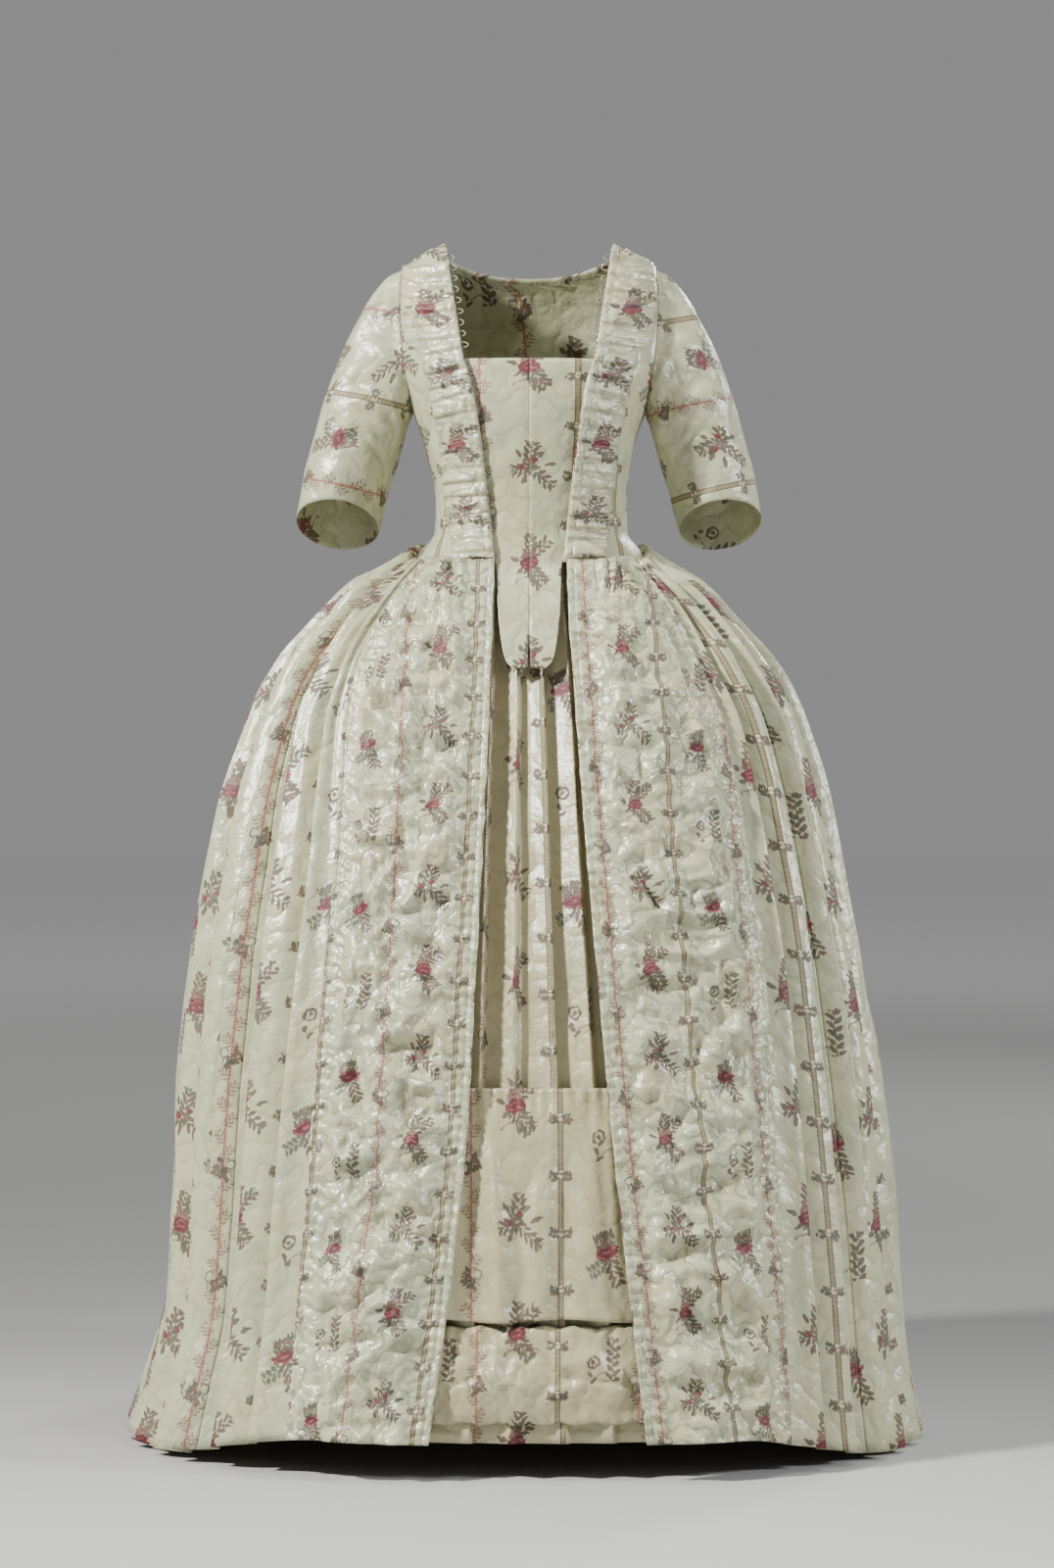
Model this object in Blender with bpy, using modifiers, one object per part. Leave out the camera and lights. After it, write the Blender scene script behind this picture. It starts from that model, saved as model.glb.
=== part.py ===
"""Robe a la francaise: an open gown with a sack back, worn over its matching petticoat.

Metres, +Z up, the wearer facing -Y, left and right as the wearer has them (left is +X).
The origin is midway between the tops of the two shoulder straps, where the wearer carries it.
Each piece of cloth is an open surface through sections of the worn form, given a wall by Solidify.
"""

import math

import bpy
import numpy as np

# Driving dimensions of the worn gown.
WALL = 0.0016  # silk taffeta with its turned edges, as one wall
SEAM = 0.0003  # gap between two pieces that are sewn edge to edge
LAYER = 0.0030  # middle of one wall to the middle of the piece that lies on it
FLOOR = -1.371  # shoulder strap down to the floor
FRONT_HEM = -1.334  # the front hem clears the floor
STRAP_INNER = 0.0965  # centre to the neck edge of the shoulder strap
STRAP_OUTER = 0.147  # centre to the armhole at the shoulder
STRAP_DROP = 0.026  # how far the strap slopes from neck to armhole
ARMPIT = -0.191
NECK_FRONT = -0.141  # top edge of the stomacher
NECK_BACK = -0.030  # middle of the back neckline
FRONT_SEAM = -0.372  # waist seam where the robings end
SIDE_SEAM = -0.352  # waist seam at the side and the back
TAB_END = -0.496  # lower end of the stomacher
ROUNDNESS = 2.3  # power of the superellipse of every level: 2 is an ellipse
SIDES = {"left": 1, "right": -1}
GOWN_SILK = (0.80, 0.80, 0.70)
PETTICOAT_SILK = (0.78, 0.74, 0.62)
TRIM_SILK = (0.83, 0.83, 0.75)
LOOP_THREAD = (0.62, 0.64, 0.56)


class Table:
    """Rows of numbers under named columns, read smoothly at any value of the first column."""

    def __init__(self, columns, *rows):
        names = columns.split()
        self.rows = dict(zip(names, np.array(sorted(rows), float).T))
        self.first = names[0]

    def at(self, column, where):
        """A cubic through the rows that never overshoots them."""
        x, y = self.rows[self.first], self.rows[column]
        step = np.diff(x)
        slope = np.diff(y) / step
        same_way = slope[1:] * slope[:-1] > 0
        total = np.where(same_way, slope[1:] + slope[:-1], 1.0)
        bend = np.where(same_way, 2 * slope[1:] * slope[:-1] / total, 0.0)
        tangent = np.concatenate([slope[:1], bend, slope[-1:]])
        where = np.clip(np.asarray(where, float), x[0], x[-1])
        row = np.clip(np.searchsorted(x, where) - 1, 0, len(step) - 1)
        t = (where - x[row]) / step[row]
        low = (2 * t**3 - 3 * t**2 + 1) * y[row] + (t**3 - 2 * t**2 + t) * step[row] * tangent[row]
        high = (3 * t**2 - 2 * t**3) * y[row + 1] + (t**3 - t**2) * step[row] * tangent[row + 1]
        return low + high


# The outside of the whole figure, from the shoulder seam to the floor: half widths to the
# wearer's right and left, and the depths in front of and behind the shoulder line.
FIGURE = Table(
    "height  right  left   front  back",
    (0.000, 0.165, 0.165, 0.002, 0.002),
    (-0.004, 0.165, 0.165, 0.018, 0.018),
    (-0.012, 0.166, 0.166, 0.034, 0.032),
    (-0.030, 0.166, 0.166, 0.054, 0.052),
    (-0.060, 0.166, 0.166, 0.074, 0.074),
    (-0.100, 0.165, 0.165, 0.094, 0.090),
    (-0.140, 0.158, 0.158, 0.110, 0.098),
    (-0.170, 0.146, 0.146, 0.116, 0.099),
    (-0.191, 0.136, 0.137, 0.118, 0.098),
    (-0.230, 0.122, 0.123, 0.114, 0.090),
    (-0.265, 0.113, 0.116, 0.108, 0.082),
    (-0.300, 0.108, 0.114, 0.103, 0.077),
    (-0.335, 0.110, 0.115, 0.101, 0.077),
    (-0.352, 0.124, 0.128, 0.103, 0.082),
    (-0.372, 0.147, 0.148, 0.108, 0.096),
    (-0.403, 0.203, 0.199, 0.124, 0.130),
    (-0.445, 0.244, 0.237, 0.147, 0.168),
    (-0.487, 0.282, 0.275, 0.168, 0.203),
    (-0.520, 0.301, 0.296, 0.183, 0.228),
    (-0.570, 0.321, 0.315, 0.203, 0.260),
    (-0.650, 0.349, 0.336, 0.230, 0.304),
    (-0.750, 0.368, 0.355, 0.260, 0.346),
    (-0.850, 0.383, 0.374, 0.285, 0.382),
    (-0.970, 0.395, 0.394, 0.308, 0.418),
    (-1.100, 0.401, 0.409, 0.330, 0.452),
    (-1.220, 0.408, 0.419, 0.347, 0.486),
    (-1.290, 0.427, 0.428, 0.357, 0.512),
    (-1.371, 0.453, 0.444, 0.366, 0.548),
)

# Distance of the armhole edge from the centre.
ARMHOLE = Table(
    "height  out",
    (-0.026, 0.147),
    (-0.060, 0.149),
    (-0.100, 0.148),
    (-0.140, 0.144),
    (-0.170, 0.139),
    (-0.191, 0.136),
)

# The pleated robing that borders the bodice front: neck edge or stomacher edge, and outer edge.
ROBING = Table(
    "height  inner   outer",
    (0.000, 0.0965, 0.1445),
    (-0.060, 0.0870, 0.1450),
    (-0.118, 0.0780, 0.1390),
    (-0.132, 0.0760, 0.1230),
    (-0.165, 0.0660, 0.1140),
    (-0.226, 0.0555, 0.1010),
    (-0.300, 0.0465, 0.0920),
    (-0.372, 0.0390, 0.0860),
)

# Half width of the stomacher, which passes under the robings as far down as the waist seam.
STOMACHER = Table(
    "height  half",
    (-0.141, 0.0860),
    (-0.226, 0.0660),
    (-0.300, 0.0570),
    (-0.355, 0.0500),
    (-0.376, 0.0375),
    (-0.430, 0.0350),
    (-0.470, 0.0305),
    (-0.488, 0.0260),
    (-0.496, 0.0190),
)

STOMACHER_ABOVE = (NECK_FRONT, -0.18, -0.22, -0.26, -0.30, -0.335, -0.362)  # row heights
STOMACHER_TAB = (FRONT_SEAM, -0.40, -0.43, -0.465, -0.486, TAB_END)

# Where the two skirt fronts end at the opening, and where their applied trimming ends.
FRONTS = Table(
    "height  right  right_trim  left   left_trim",
    (-0.372, 0.039, 0.118, 0.043, 0.120),
    (-0.440, 0.041, 0.168, 0.045, 0.168),
    (-0.500, 0.043, 0.193, 0.049, 0.193),
    (-0.560, 0.045, 0.207, 0.053, 0.217),
    (-0.700, 0.051, 0.213, 0.063, 0.240),
    (-0.830, 0.058, 0.223, 0.074, 0.255),
    (-1.000, 0.067, 0.236, 0.089, 0.267),
    (-1.170, 0.085, 0.248, 0.107, 0.275),
    (-1.335, 0.108, 0.260, 0.126, 0.282),
)

# The pleats of each side, from the trimming round to the sack back, as shares of that distance:
# where the ridge starts at the waist seam and ends at the hem, and how far it stands out.
PLEATS = Table(
    "waist  hem    hip     middle  hem_depth",
    (0.030, 0.055, 0.0030, 0.0040, 0.0050),
    (0.100, 0.125, 0.0045, 0.0060, 0.0045),
    (0.170, 0.200, 0.0055, 0.0080, 0.0075),
    (0.245, 0.270, 0.0050, 0.0060, 0.0050),
    (0.320, 0.345, 0.0060, 0.0090, 0.0080),
    (0.400, 0.425, 0.0055, 0.0070, 0.0060),
    (0.485, 0.505, 0.0060, 0.0085, 0.0085),
    (0.570, 0.590, 0.0055, 0.0065, 0.0060),
    (0.660, 0.675, 0.0060, 0.0090, 0.0090),
    (0.755, 0.765, 0.0055, 0.0080, 0.0070),
    (0.855, 0.860, 0.0050, 0.0085, 0.0085),
)
FRONT_PANEL_PLEATS = 2  # pleats on the front panel, before its seam with the side panel
SIDE_PANEL_PLEATS = 8  # pleats before the seam between side and back panel
UNDERFOLD = 0.28  # the sharp side of a pleat, as a share of the way to the next ridge

# The sack back: half width, middle depth and how far its box pleats stand out.
SACK = Table(
    "height  half   depth  relief",
    (0.000, 0.070, 0.060, 0.0035),
    (-0.030, 0.074, 0.062, 0.0035),
    (-0.100, 0.082, 0.104, 0.0040),
    (-0.200, 0.090, 0.128, 0.0050),
    (-0.300, 0.094, 0.154, 0.0065),
    (-0.372, 0.104, 0.176, 0.0080),
    (-0.500, 0.122, 0.230, 0.0100),
    (-0.750, 0.162, 0.352, 0.0120),
    (-1.000, 0.205, 0.436, 0.0130),
    (-1.371, 0.268, 0.562, 0.0140),
)

# Across one half of the sack back, from the centre: the folds of its two box pleats.
BOX_FOLDS = Table(
    "across  stands",
    (0.000, -0.8),
    (0.070, -0.8),
    (0.110, 1.0),
    (0.480, 1.0),
    (0.520, -0.6),
    (0.570, -0.6),
    (0.610, 0.9),
    (0.780, 1.0),
    (0.930, 0.35),
    (1.000, 0.0),
)

# Knife pleats of the petticoat front, as the distance from the centre.
PETTICOAT_PLEATS = Table(
    "waist   hem     stands",
    (-0.100, -0.230, 0.0040),
    (-0.068, -0.135, 0.0045),
    (-0.040, -0.068, 0.0050),
    (-0.012, -0.020, 0.0040),
    (0.012, 0.040, 0.0050),
    (0.040, 0.095, 0.0045),
    (0.068, 0.150, 0.0040),
    (0.100, 0.235, 0.0040),
)
PETTICOAT_TOP = -0.366
PETTICOAT_HEM = -1.335
PETTICOAT_ROWS = 9
# How far inside the gown's figure the petticoat stands.
INSET = Table(
    "height  inset",
    (-0.366, 0.014),
    (-0.420, 0.018),
    (-0.500, 0.018),
    (-0.900, 0.020),
    (-1.371, 0.022),
)
FLOUNCE_TOP, FLOUNCE_HEM = -0.957, -1.205
PUFF_TOP, PUFF_HEM = -1.213, -1.311
TRIM_REACH = 0.20  # how far the flounce and the puffed band reach to each side
BAND_COLUMNS = 17


def unit(vectors):
    """Each vector at length 1."""
    return vectors / np.maximum(np.linalg.norm(vectors, axis=-1, keepdims=True), 1e-9)


def ease(t):
    """0 to 1 with a soft start and end."""
    t = np.clip(t, 0.0, 1.0)
    return t * t * (3 - 2 * t)


def shoulder_drop(x):
    """How far the top of the strap has sloped at this distance from the centre."""
    return STRAP_DROP * np.clip((np.abs(x) - STRAP_INNER) / (STRAP_OUTER - STRAP_INNER), 0, 1)


def depth(x, z, side, facing):
    """Depth of the figure at this place, in front or at the back, before its sign."""
    half = FIGURE.at(side, z)
    below_ridge = z + shoulder_drop(x) * ease(1 + (z + 0.05) / 0.15)
    share = np.clip(np.abs(x) / half, 0, 1)
    return FIGURE.at(facing, below_ridge) * (1 - share**ROUNDNESS) ** (1 / ROUNDNESS)


def across(angle, z, side):
    """Distance from the centre at an angle round the figure: 0 is front, 90 degrees the side."""
    return FIGURE.at(side, z) * np.abs(np.sin(angle)) ** (2 / ROUNDNESS)


def angle_at(x, z, side):
    """The front angle at which the figure is this far from the centre."""
    share = np.clip(x / FIGURE.at(side, z), 0, 1)
    return np.arcsin(share ** (ROUNDNESS / 2))


def on_figure(angle, z, side):
    """The point of the figure at this angle and height."""
    angle, z = np.broadcast_arrays(np.asarray(angle, float), np.asarray(z, float))
    x = across(angle, z, side)
    front, back = depth(x, z, side, "front"), depth(x, z, side, "back")
    y = np.where(angle <= math.pi / 2, -front, back)
    return np.stack([SIDES[side] * x, y, z], axis=-1)


def moved_out(grid, distance):
    """The same grid of points moved away from the body along the surface's own normals."""
    along = np.gradient(grid, axis=1)
    down = np.gradient(grid, axis=0)
    normal = unit(np.cross(along, down))
    outward = grid * (1, 1, 0) - (0, 0.05, 0)
    facing = np.sign(np.sum(normal * outward))
    distance = np.asarray(distance, float)
    return grid + normal * facing * (distance[..., None] if distance.ndim else distance)


def seam_allowance(grid, start=True, end=True):
    """Draws the first and last column back by half the seam's gap."""
    grid = grid.copy()
    if start:
        grid[:, 0] += unit(grid[:, 1] - grid[:, 0]) * SEAM / 2
    if end:
        grid[:, -1] += unit(grid[:, -2] - grid[:, -1]) * SEAM / 2
    return grid


def silk(name, colour):
    """A plain satin material."""
    material = bpy.data.materials.new(name)
    material.use_nodes = True
    shader = material.node_tree.nodes["Principled BSDF"]
    shader.inputs["Base Color"].default_value = (*colour, 1)
    shader.inputs["Roughness"].default_value = 0.45
    shader.inputs["Metallic"].default_value = 0.0
    return material


def cloth(name, grid, material, collection, round_tube=False):
    """One piece of cloth: a surface through a grid of points, rows by columns, with a wall."""
    rows, columns = grid.shape[:2]
    steps = columns if round_tube else columns - 1
    faces = [
        (r * columns + c, (r + 1) * columns + c, (r + 1) * columns + d, r * columns + d)
        for r in range(rows - 1)
        for c, d in ((c, (c + 1) % columns) for c in range(steps))
    ]
    mesh = bpy.data.meshes.new(name)
    mesh.from_pydata(grid.reshape(-1, 3).tolist(), [], faces)
    mesh.shade_smooth()
    mesh.materials.append(material)
    piece = bpy.data.objects.new(name, mesh)
    collection.objects.link(piece)
    wall = piece.modifiers.new("wall", "SOLIDIFY")
    wall.thickness = WALL
    wall.offset = 0.0
    return piece


def waist_seam(angle):
    """Height of the waist seam round the figure: lowest at the front."""
    return FRONT_SEAM + (SIDE_SEAM - FRONT_SEAM) * ease((angle - 0.8) / 0.7)


def hem(angle):
    """Height of the gown's hem: off the floor in front, on the floor at the sides and back."""
    return FRONT_HEM + (FLOOR - FRONT_HEM) * ease((angle - 0.45) / 0.8)


# --- bodice ---------------------------------------------------------------------------------

BODICE_ROWS = (0.0, 0.03, 0.06, 0.10, 0.16, 0.27, 0.40, 0.50, 0.60, 0.72, 0.85, 0.94, 0.98, 1.0)


def side_angle(z, side, facing):
    """The angle where a bodice panel ends at the side: the side seam, or the armhole above it."""
    seam = math.pi / 2 - (SEAM / 2 / FIGURE.at(facing, z)) ** (ROUNDNESS / 2)
    return np.where(z > ARMPIT, np.minimum(angle_at(ARMHOLE.at("out", z), z, side), seam), seam)


def bodice_front(side):
    """One bodice front, from the robing's edge to the side seam, waist seam to shoulder seam."""
    share = np.linspace(0, 1, 7)[None, :]
    rows = np.array(BODICE_ROWS)[:, None]
    bottom = waist_seam(share * math.pi / 2) + WALL / 2
    z = bottom * (1 - rows) - rows * shoulder_drop(STRAP_INNER + share * (STRAP_OUTER - STRAP_INNER))
    inner = angle_at(ROBING.at("inner", z), z, side)
    angle = inner + (side_angle(z, side, "front") - inner) * share
    grid = on_figure(angle, z, side)
    grid[-1, :, 1] -= SEAM / 2
    return grid


def bodice_back():
    """The fitted back in one piece, from side seam to side seam, under the sack."""
    rows = np.array(BODICE_ROWS)[:, None]
    halves = []
    for side in ("right", "left"):
        share = np.linspace(0, 1, 7)[None, :]
        top_x = share * STRAP_OUTER
        neck = NECK_BACK * np.clip(1 - (top_x / STRAP_INNER) ** 2, 0, 1) - shoulder_drop(top_x)
        z = (SIDE_SEAM + WALL / 2) * (1 - rows) + rows * neck
        angle = math.pi - side_angle(z, side, "back") * share
        grid = on_figure(angle, z, side)
        grid[-1, top_x[0] > STRAP_INNER, 1] += SEAM / 2
        halves.append(grid)
    return np.concatenate([halves[0][:, :0:-1], halves[1]], axis=1)


def robing(side):
    """The pleated band along the bodice front: tucks laid across it, one every 18 mm."""
    tucks = 20
    rows = np.linspace(0, 1, 2 * tucks + 1)[:, None]
    share = np.linspace(0, 1, 3)[None, :]
    top = -shoulder_drop(ROBING.at("inner", 0.0) + share * (STRAP_OUTER - STRAP_INNER))
    z = (FRONT_SEAM + WALL) * (1 - rows) + (top - WALL / 2) * rows
    inner, outer = ROBING.at("inner", z), ROBING.at("outer", z)
    grid = on_figure(angle_at(inner + (outer - inner) * share, z, side), z, side)
    stands = np.where(np.arange(2 * tucks + 1) % 2 == 1, 0.0012, 0.0)[:, None]
    return moved_out(grid, LAYER + 0.0014 + stands + 0 * share)


def neck_loops(side):
    """The row of thread loops along the neck edge, as a plain strip of their reach."""
    rows = np.linspace(0, 1, 9)[:, None]
    share = np.linspace(0, 1, 2)[None, :]
    z = (NECK_FRONT + 0.008) * (1 - rows) - 0.010 * rows + 0 * share
    x = ROBING.at("inner", z) - 0.0022 - 0.0065 * share
    return on_figure(angle_at(x, z, side), z, side)


def stomacher(side):
    """One half of the closed front, from the centre seam to under the robing, and its tab."""
    z = np.array(STOMACHER_ABOVE + STOMACHER_TAB)[:, None]
    share = np.linspace(0, 1, 4)[None, :]
    slit = 0.0012 * ease((-0.455 - z) / 0.03)
    x = SEAM / 2 + slit + (STOMACHER.at("half", z) - SEAM / 2 - slit) * share
    grid = on_figure(angle_at(x, z + 0 * x, side), z + 0 * x, side)
    below = ease((FRONT_SEAM - 0.002 - z) / 0.03)
    return grid + np.stack([0 * x, LAYER * (1 - below) - 0.0005 * below + 0 * x, 0 * x], axis=-1)


# --- sleeves --------------------------------------------------------------------------------

CUFF_CENTRE = (0.224, 0.010, -0.323)
CUFF_ACROSS, CUFF_DEEP = 0.048, 0.056
CUFF_DIP = 0.025  # the cuff is this much higher in front and lower at the elbow
CUFF_SLOPE = 0.004
SLEEVE_GAP = 0.0034  # from the armhole edge to the middle of the sleeve head wall


def sleeve(side):
    """The elbow sleeve: from each point of the armhole a curve runs to the cuff."""
    turn = np.arange(14) * math.tau / 14
    middle, half = (ARMPIT - STRAP_DROP) / 2, (-STRAP_DROP - ARMPIT) / 2
    z = middle + (half - 0.0006) * np.sin(turn)
    x = np.minimum(ARMHOLE.at("out", z), FIGURE.at(side, z) - 0.0005)
    front = np.cos(turn) > 0
    y = np.where(front, -depth(x, z, side, "front"), depth(x, z, side, "back"))
    start = np.stack([x, y, z], axis=-1)
    up = (np.sin(turn)[:, None] + 1) / 2
    leave = up * (0.055, 0, -0.022) + (1 - up) * (0.010, 0, -0.040)
    arrive = up * (0.018, 0, -0.120) + (1 - up) * (0.010, 0, -0.045)
    start = start + unit(leave) * SLEEVE_GAP
    cuff = np.stack(
        [
            CUFF_CENTRE[0] + CUFF_ACROSS * np.sin(turn),
            CUFF_CENTRE[1] - CUFF_DEEP * np.cos(turn),
            CUFF_CENTRE[2] + CUFF_DIP * np.cos(turn) + CUFF_SLOPE * np.sin(turn),
        ],
        axis=-1,
    )
    t = np.array([0, 0.10, 0.24, 0.40, 0.58, 0.78, 1.0])[:, None, None]
    curve = (
        start * (1 - t) ** 3
        + (start + leave) * 3 * t * (1 - t) ** 2
        + (cuff - arrive) * 3 * t**2 * (1 - t)
        + cuff * t**3
    )
    return curve * (SIDES[side], 1, 1)


# --- gown skirt -----------------------------------------------------------------------------

SKIRT_ROWS = np.array([0, 0.035, 0.09, 0.17, 0.28, 0.42, 0.58, 0.75, 0.90, 1.0])
TRIM_SHARES = (-1.0, -0.88, -0.45, -0.08, 0.0)  # places of the columns under the trimming
SACK_ROWS = np.array([-0.030, -0.060, -0.120, -0.200, -0.290])  # heights above the waist


def skirt_angle(place, z, side):
    """-1 to 0 runs over the trimmed front from its edge, 0 to 1 from there to the sack back."""
    edge, trim = FRONTS.at(side, z), FRONTS.at(side + "_trim", z)
    on_front = angle_at(edge + (trim - edge) * (np.minimum(place, 0) + 1), z, side)
    sack = math.pi - angle_at(SACK.at("half", z), z, side)
    return np.where(place <= 0, on_front, on_front + (sack - on_front) * np.maximum(place, 0))


def pleat_columns():
    """(place at the waist, place at the hem, pleat or None, which way it stands) per column."""
    columns = [(share, share, None, 0) for share in TRIM_SHARES]
    waist, hems = PLEATS.rows["waist"], PLEATS.rows["hem"]
    for k in range(len(waist)):
        next_waist = waist[k + 1] if k + 1 < len(waist) else 1.0
        next_hem = hems[k + 1] if k + 1 < len(hems) else 1.0
        columns.append((waist[k], hems[k], k, 1))
        under = (waist[k] + UNDERFOLD * (next_waist - waist[k]), hems[k] + UNDERFOLD * (next_hem - hems[k]))
        columns.append((*under, k, -1))
        if k + 1 in (FRONT_PANEL_PLEATS, SIDE_PANEL_PLEATS):
            columns.append(((under[0] + next_waist) / 2, (under[1] + next_hem) / 2, k, 0))
    columns.append((1.0, 1.0, None, 0))
    return columns


def skirt(side):
    """Every column of one side of the gown's skirt, from the front edge to the sack back."""
    down = SKIRT_ROWS[:, None]
    columns = pleat_columns()
    place = np.stack([c[0] + (c[1] - c[0]) * SKIRT_ROWS for c in columns], axis=1)
    around = skirt_angle(place, np.full_like(place, -0.7), side)
    top = waist_seam(around) - WALL * 0.9
    z = top + (hem(around) - top) * down
    grid = on_figure(skirt_angle(place, z, side), z, side)
    stands = np.zeros_like(z)
    for c, (_, _, pleat, way) in enumerate(columns):
        if pleat is not None:
            hip, middle, low = (PLEATS.rows[name][pleat] for name in ("hip", "middle", "hem_depth"))
            fall = Table("down depth", (0.0, hip * 0.4), (0.07, hip), (0.4, middle), (1.0, low))
            stands[:, c] = way * fall.at("depth", SKIRT_ROWS)
    return moved_out(grid, stands)


def skirt_panels(side):
    """The skirt's columns shared out to its front, side and back panels."""
    grid = skirt(side)
    cuts = [i for i, c in enumerate(pleat_columns()) if c[2] is not None and c[3] == 0]
    return {
        "skirt_front": seam_allowance(grid[:, : cuts[0] + 1], start=False),
        "skirt_side": seam_allowance(grid[:, cuts[0] : cuts[1] + 1]),
        "skirt_back": seam_allowance(grid[:, cuts[1] :]),
    }


def skirt_trim(side):
    """The ruched band applied to a skirt front: two gathered headings and a puffed field."""
    on_front = skirt(side)[:, : len(TRIM_SHARES)]
    share = np.linspace(0, 1, len(SKIRT_ROWS) * 2 - 1) * (len(SKIRT_ROWS) - 1)
    low = np.minimum(share.astype(int), len(SKIRT_ROWS) - 2)
    part = (share - low)[:, None, None]
    grid = on_front[low] * (1 - part) + on_front[low + 1] * part
    stands = np.full(grid.shape[:2], LAYER)
    stands[:, 2] += 0.0040
    stands[1::2, 2] += 0.0025
    return moved_out(grid, stands)[1:]


def sack_back(side):
    """Half of the sack: two box pleats from the back neckline, falling free to the floor."""
    share = BOX_FOLDS.rows["across"][None, :]
    waist = SIDE_SEAM - WALL * 0.9
    z = np.concatenate([SACK_ROWS, waist + (FLOOR - waist) * SKIRT_ROWS])[:, None] + 0 * share
    z[0] += 0.006 * share[0] ** 2 - 0.002
    x = SACK.at("half", z) * share
    edge_x = SACK.at("half", z)
    clear = np.where(z > SIDE_SEAM, 1.0, ease((z + 0.47) / 0.118))
    edge = depth(edge_x, z, side, "back") + (LAYER + 0.004) * clear
    middle = np.maximum(SACK.at("depth", z), depth(0 * x, z, side, "back") + LAYER + 0.004)
    y = middle - (middle - edge) * share**2.2
    on_back = depth(x, z, side, "back") + LAYER + 0.003 + 0.006 * ease((z + 0.30) / 0.10)
    stands = SACK.at("relief", z) * (BOX_FOLDS.rows["stands"][None, :])
    y = np.maximum(y + stands, np.where(z > SIDE_SEAM - 0.05, on_back, 0))
    y[:, -1] = edge[:, -1]
    x = x.copy()
    x[:, 0] = SEAM / 2
    grid = np.stack([SIDES[side] * x, y, z], axis=-1)
    grid[:, -1] += unit(grid[:, -2] - grid[:, -1]) * 2 * SEAM
    return grid


# --- petticoat ------------------------------------------------------------------------------


def petticoat_point(x_share, z, facing, out=0.0):
    """A point of the petticoat, inside the gown by its inset. x_share runs -1 to 1 over the width."""
    side = np.where(x_share >= 0, FIGURE.at("left", z), FIGURE.at("right", z))
    inset = INSET.at("inset", z)
    angle = np.abs(x_share) * math.pi / 2
    reach = (FIGURE.at(facing, z) - inset) * (0.80 if facing == "back" else 1.0)
    x = np.sign(x_share) * (side - inset + out) * np.sin(angle) ** (2 / ROUNDNESS)
    y = (reach + out) * np.cos(angle) ** (2 / ROUNDNESS)
    return np.stack([x, -y if facing == "front" else y, z + 0 * x], axis=-1)


def petticoat_shares(z):
    """The columns of the petticoat front: a ridge and an underfold for each knife pleat."""
    down = (z - PETTICOAT_TOP) / (PETTICOAT_HEM - PETTICOAT_TOP)
    plain = [0.80 - 0.20 * down, 0.93 - 0.08 * down, 1.0 + 0 * down]  # towards the side seam
    columns, stands = [-share for share in plain[::-1]], [0 * z] * len(plain)
    half = (FIGURE.at("left", z) + FIGURE.at("right", z)) / 2
    for waist, low, depth_out in zip(*PETTICOAT_PLEATS.rows.values()):
        for lag, way in ((0.0, 1.0), (0.30, -1.0)):
            x = (waist + lag * 0.028) + (low + lag * 0.055 - waist - lag * 0.028) * down
            columns.append(np.sign(x) * np.arcsin(np.clip(np.abs(x) / half, 0, 0.99) ** (ROUNDNESS / 2))
                           / (math.pi / 2))
            stands.append(way * depth_out * ease(0.4 + 2 * down))
    columns += plain
    stands += [0 * z] * len(plain)
    return np.concatenate(columns, axis=1), np.concatenate(stands, axis=1)


def petticoat_front():
    """The pleated front width, from side seam to side seam."""
    z = np.linspace(PETTICOAT_TOP, PETTICOAT_HEM, PETTICOAT_ROWS)[:, None]
    share, stands = petticoat_shares(z)
    grid = petticoat_point(share, z, "front")
    grid[:, [0, -1], 1] -= SEAM
    return moved_out(grid, stands)


def petticoat_back():
    """The plain back width, hidden under the gown."""
    z = np.linspace(PETTICOAT_TOP, PETTICOAT_HEM, PETTICOAT_ROWS)[:, None]
    grid = petticoat_point(np.linspace(-1, 1, 11)[None, :], z, "back")
    grid[:, [0, -1], 1] += SEAM
    return grid


def petticoat_band(top, bottom, rise):
    """A strip applied across the petticoat front. rise lists how far each row stands out."""
    rise = np.array(rise)[:, None]
    z = np.linspace(top, bottom, len(rise))[:, None]
    x = np.linspace(-TRIM_REACH, TRIM_REACH, BAND_COLUMNS)[None, :]
    half = (FIGURE.at("left", z) + FIGURE.at("right", z)) / 2
    share = np.sign(x) * np.arcsin((np.abs(x) / half) ** (ROUNDNESS / 2)) / (math.pi / 2)
    waves = 0.0008 * np.cos(np.arange(BAND_COLUMNS) * math.pi)[None, :]
    return petticoat_point(share, z, "front", out=0.0080 + rise + waves * (rise > 0))


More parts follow.
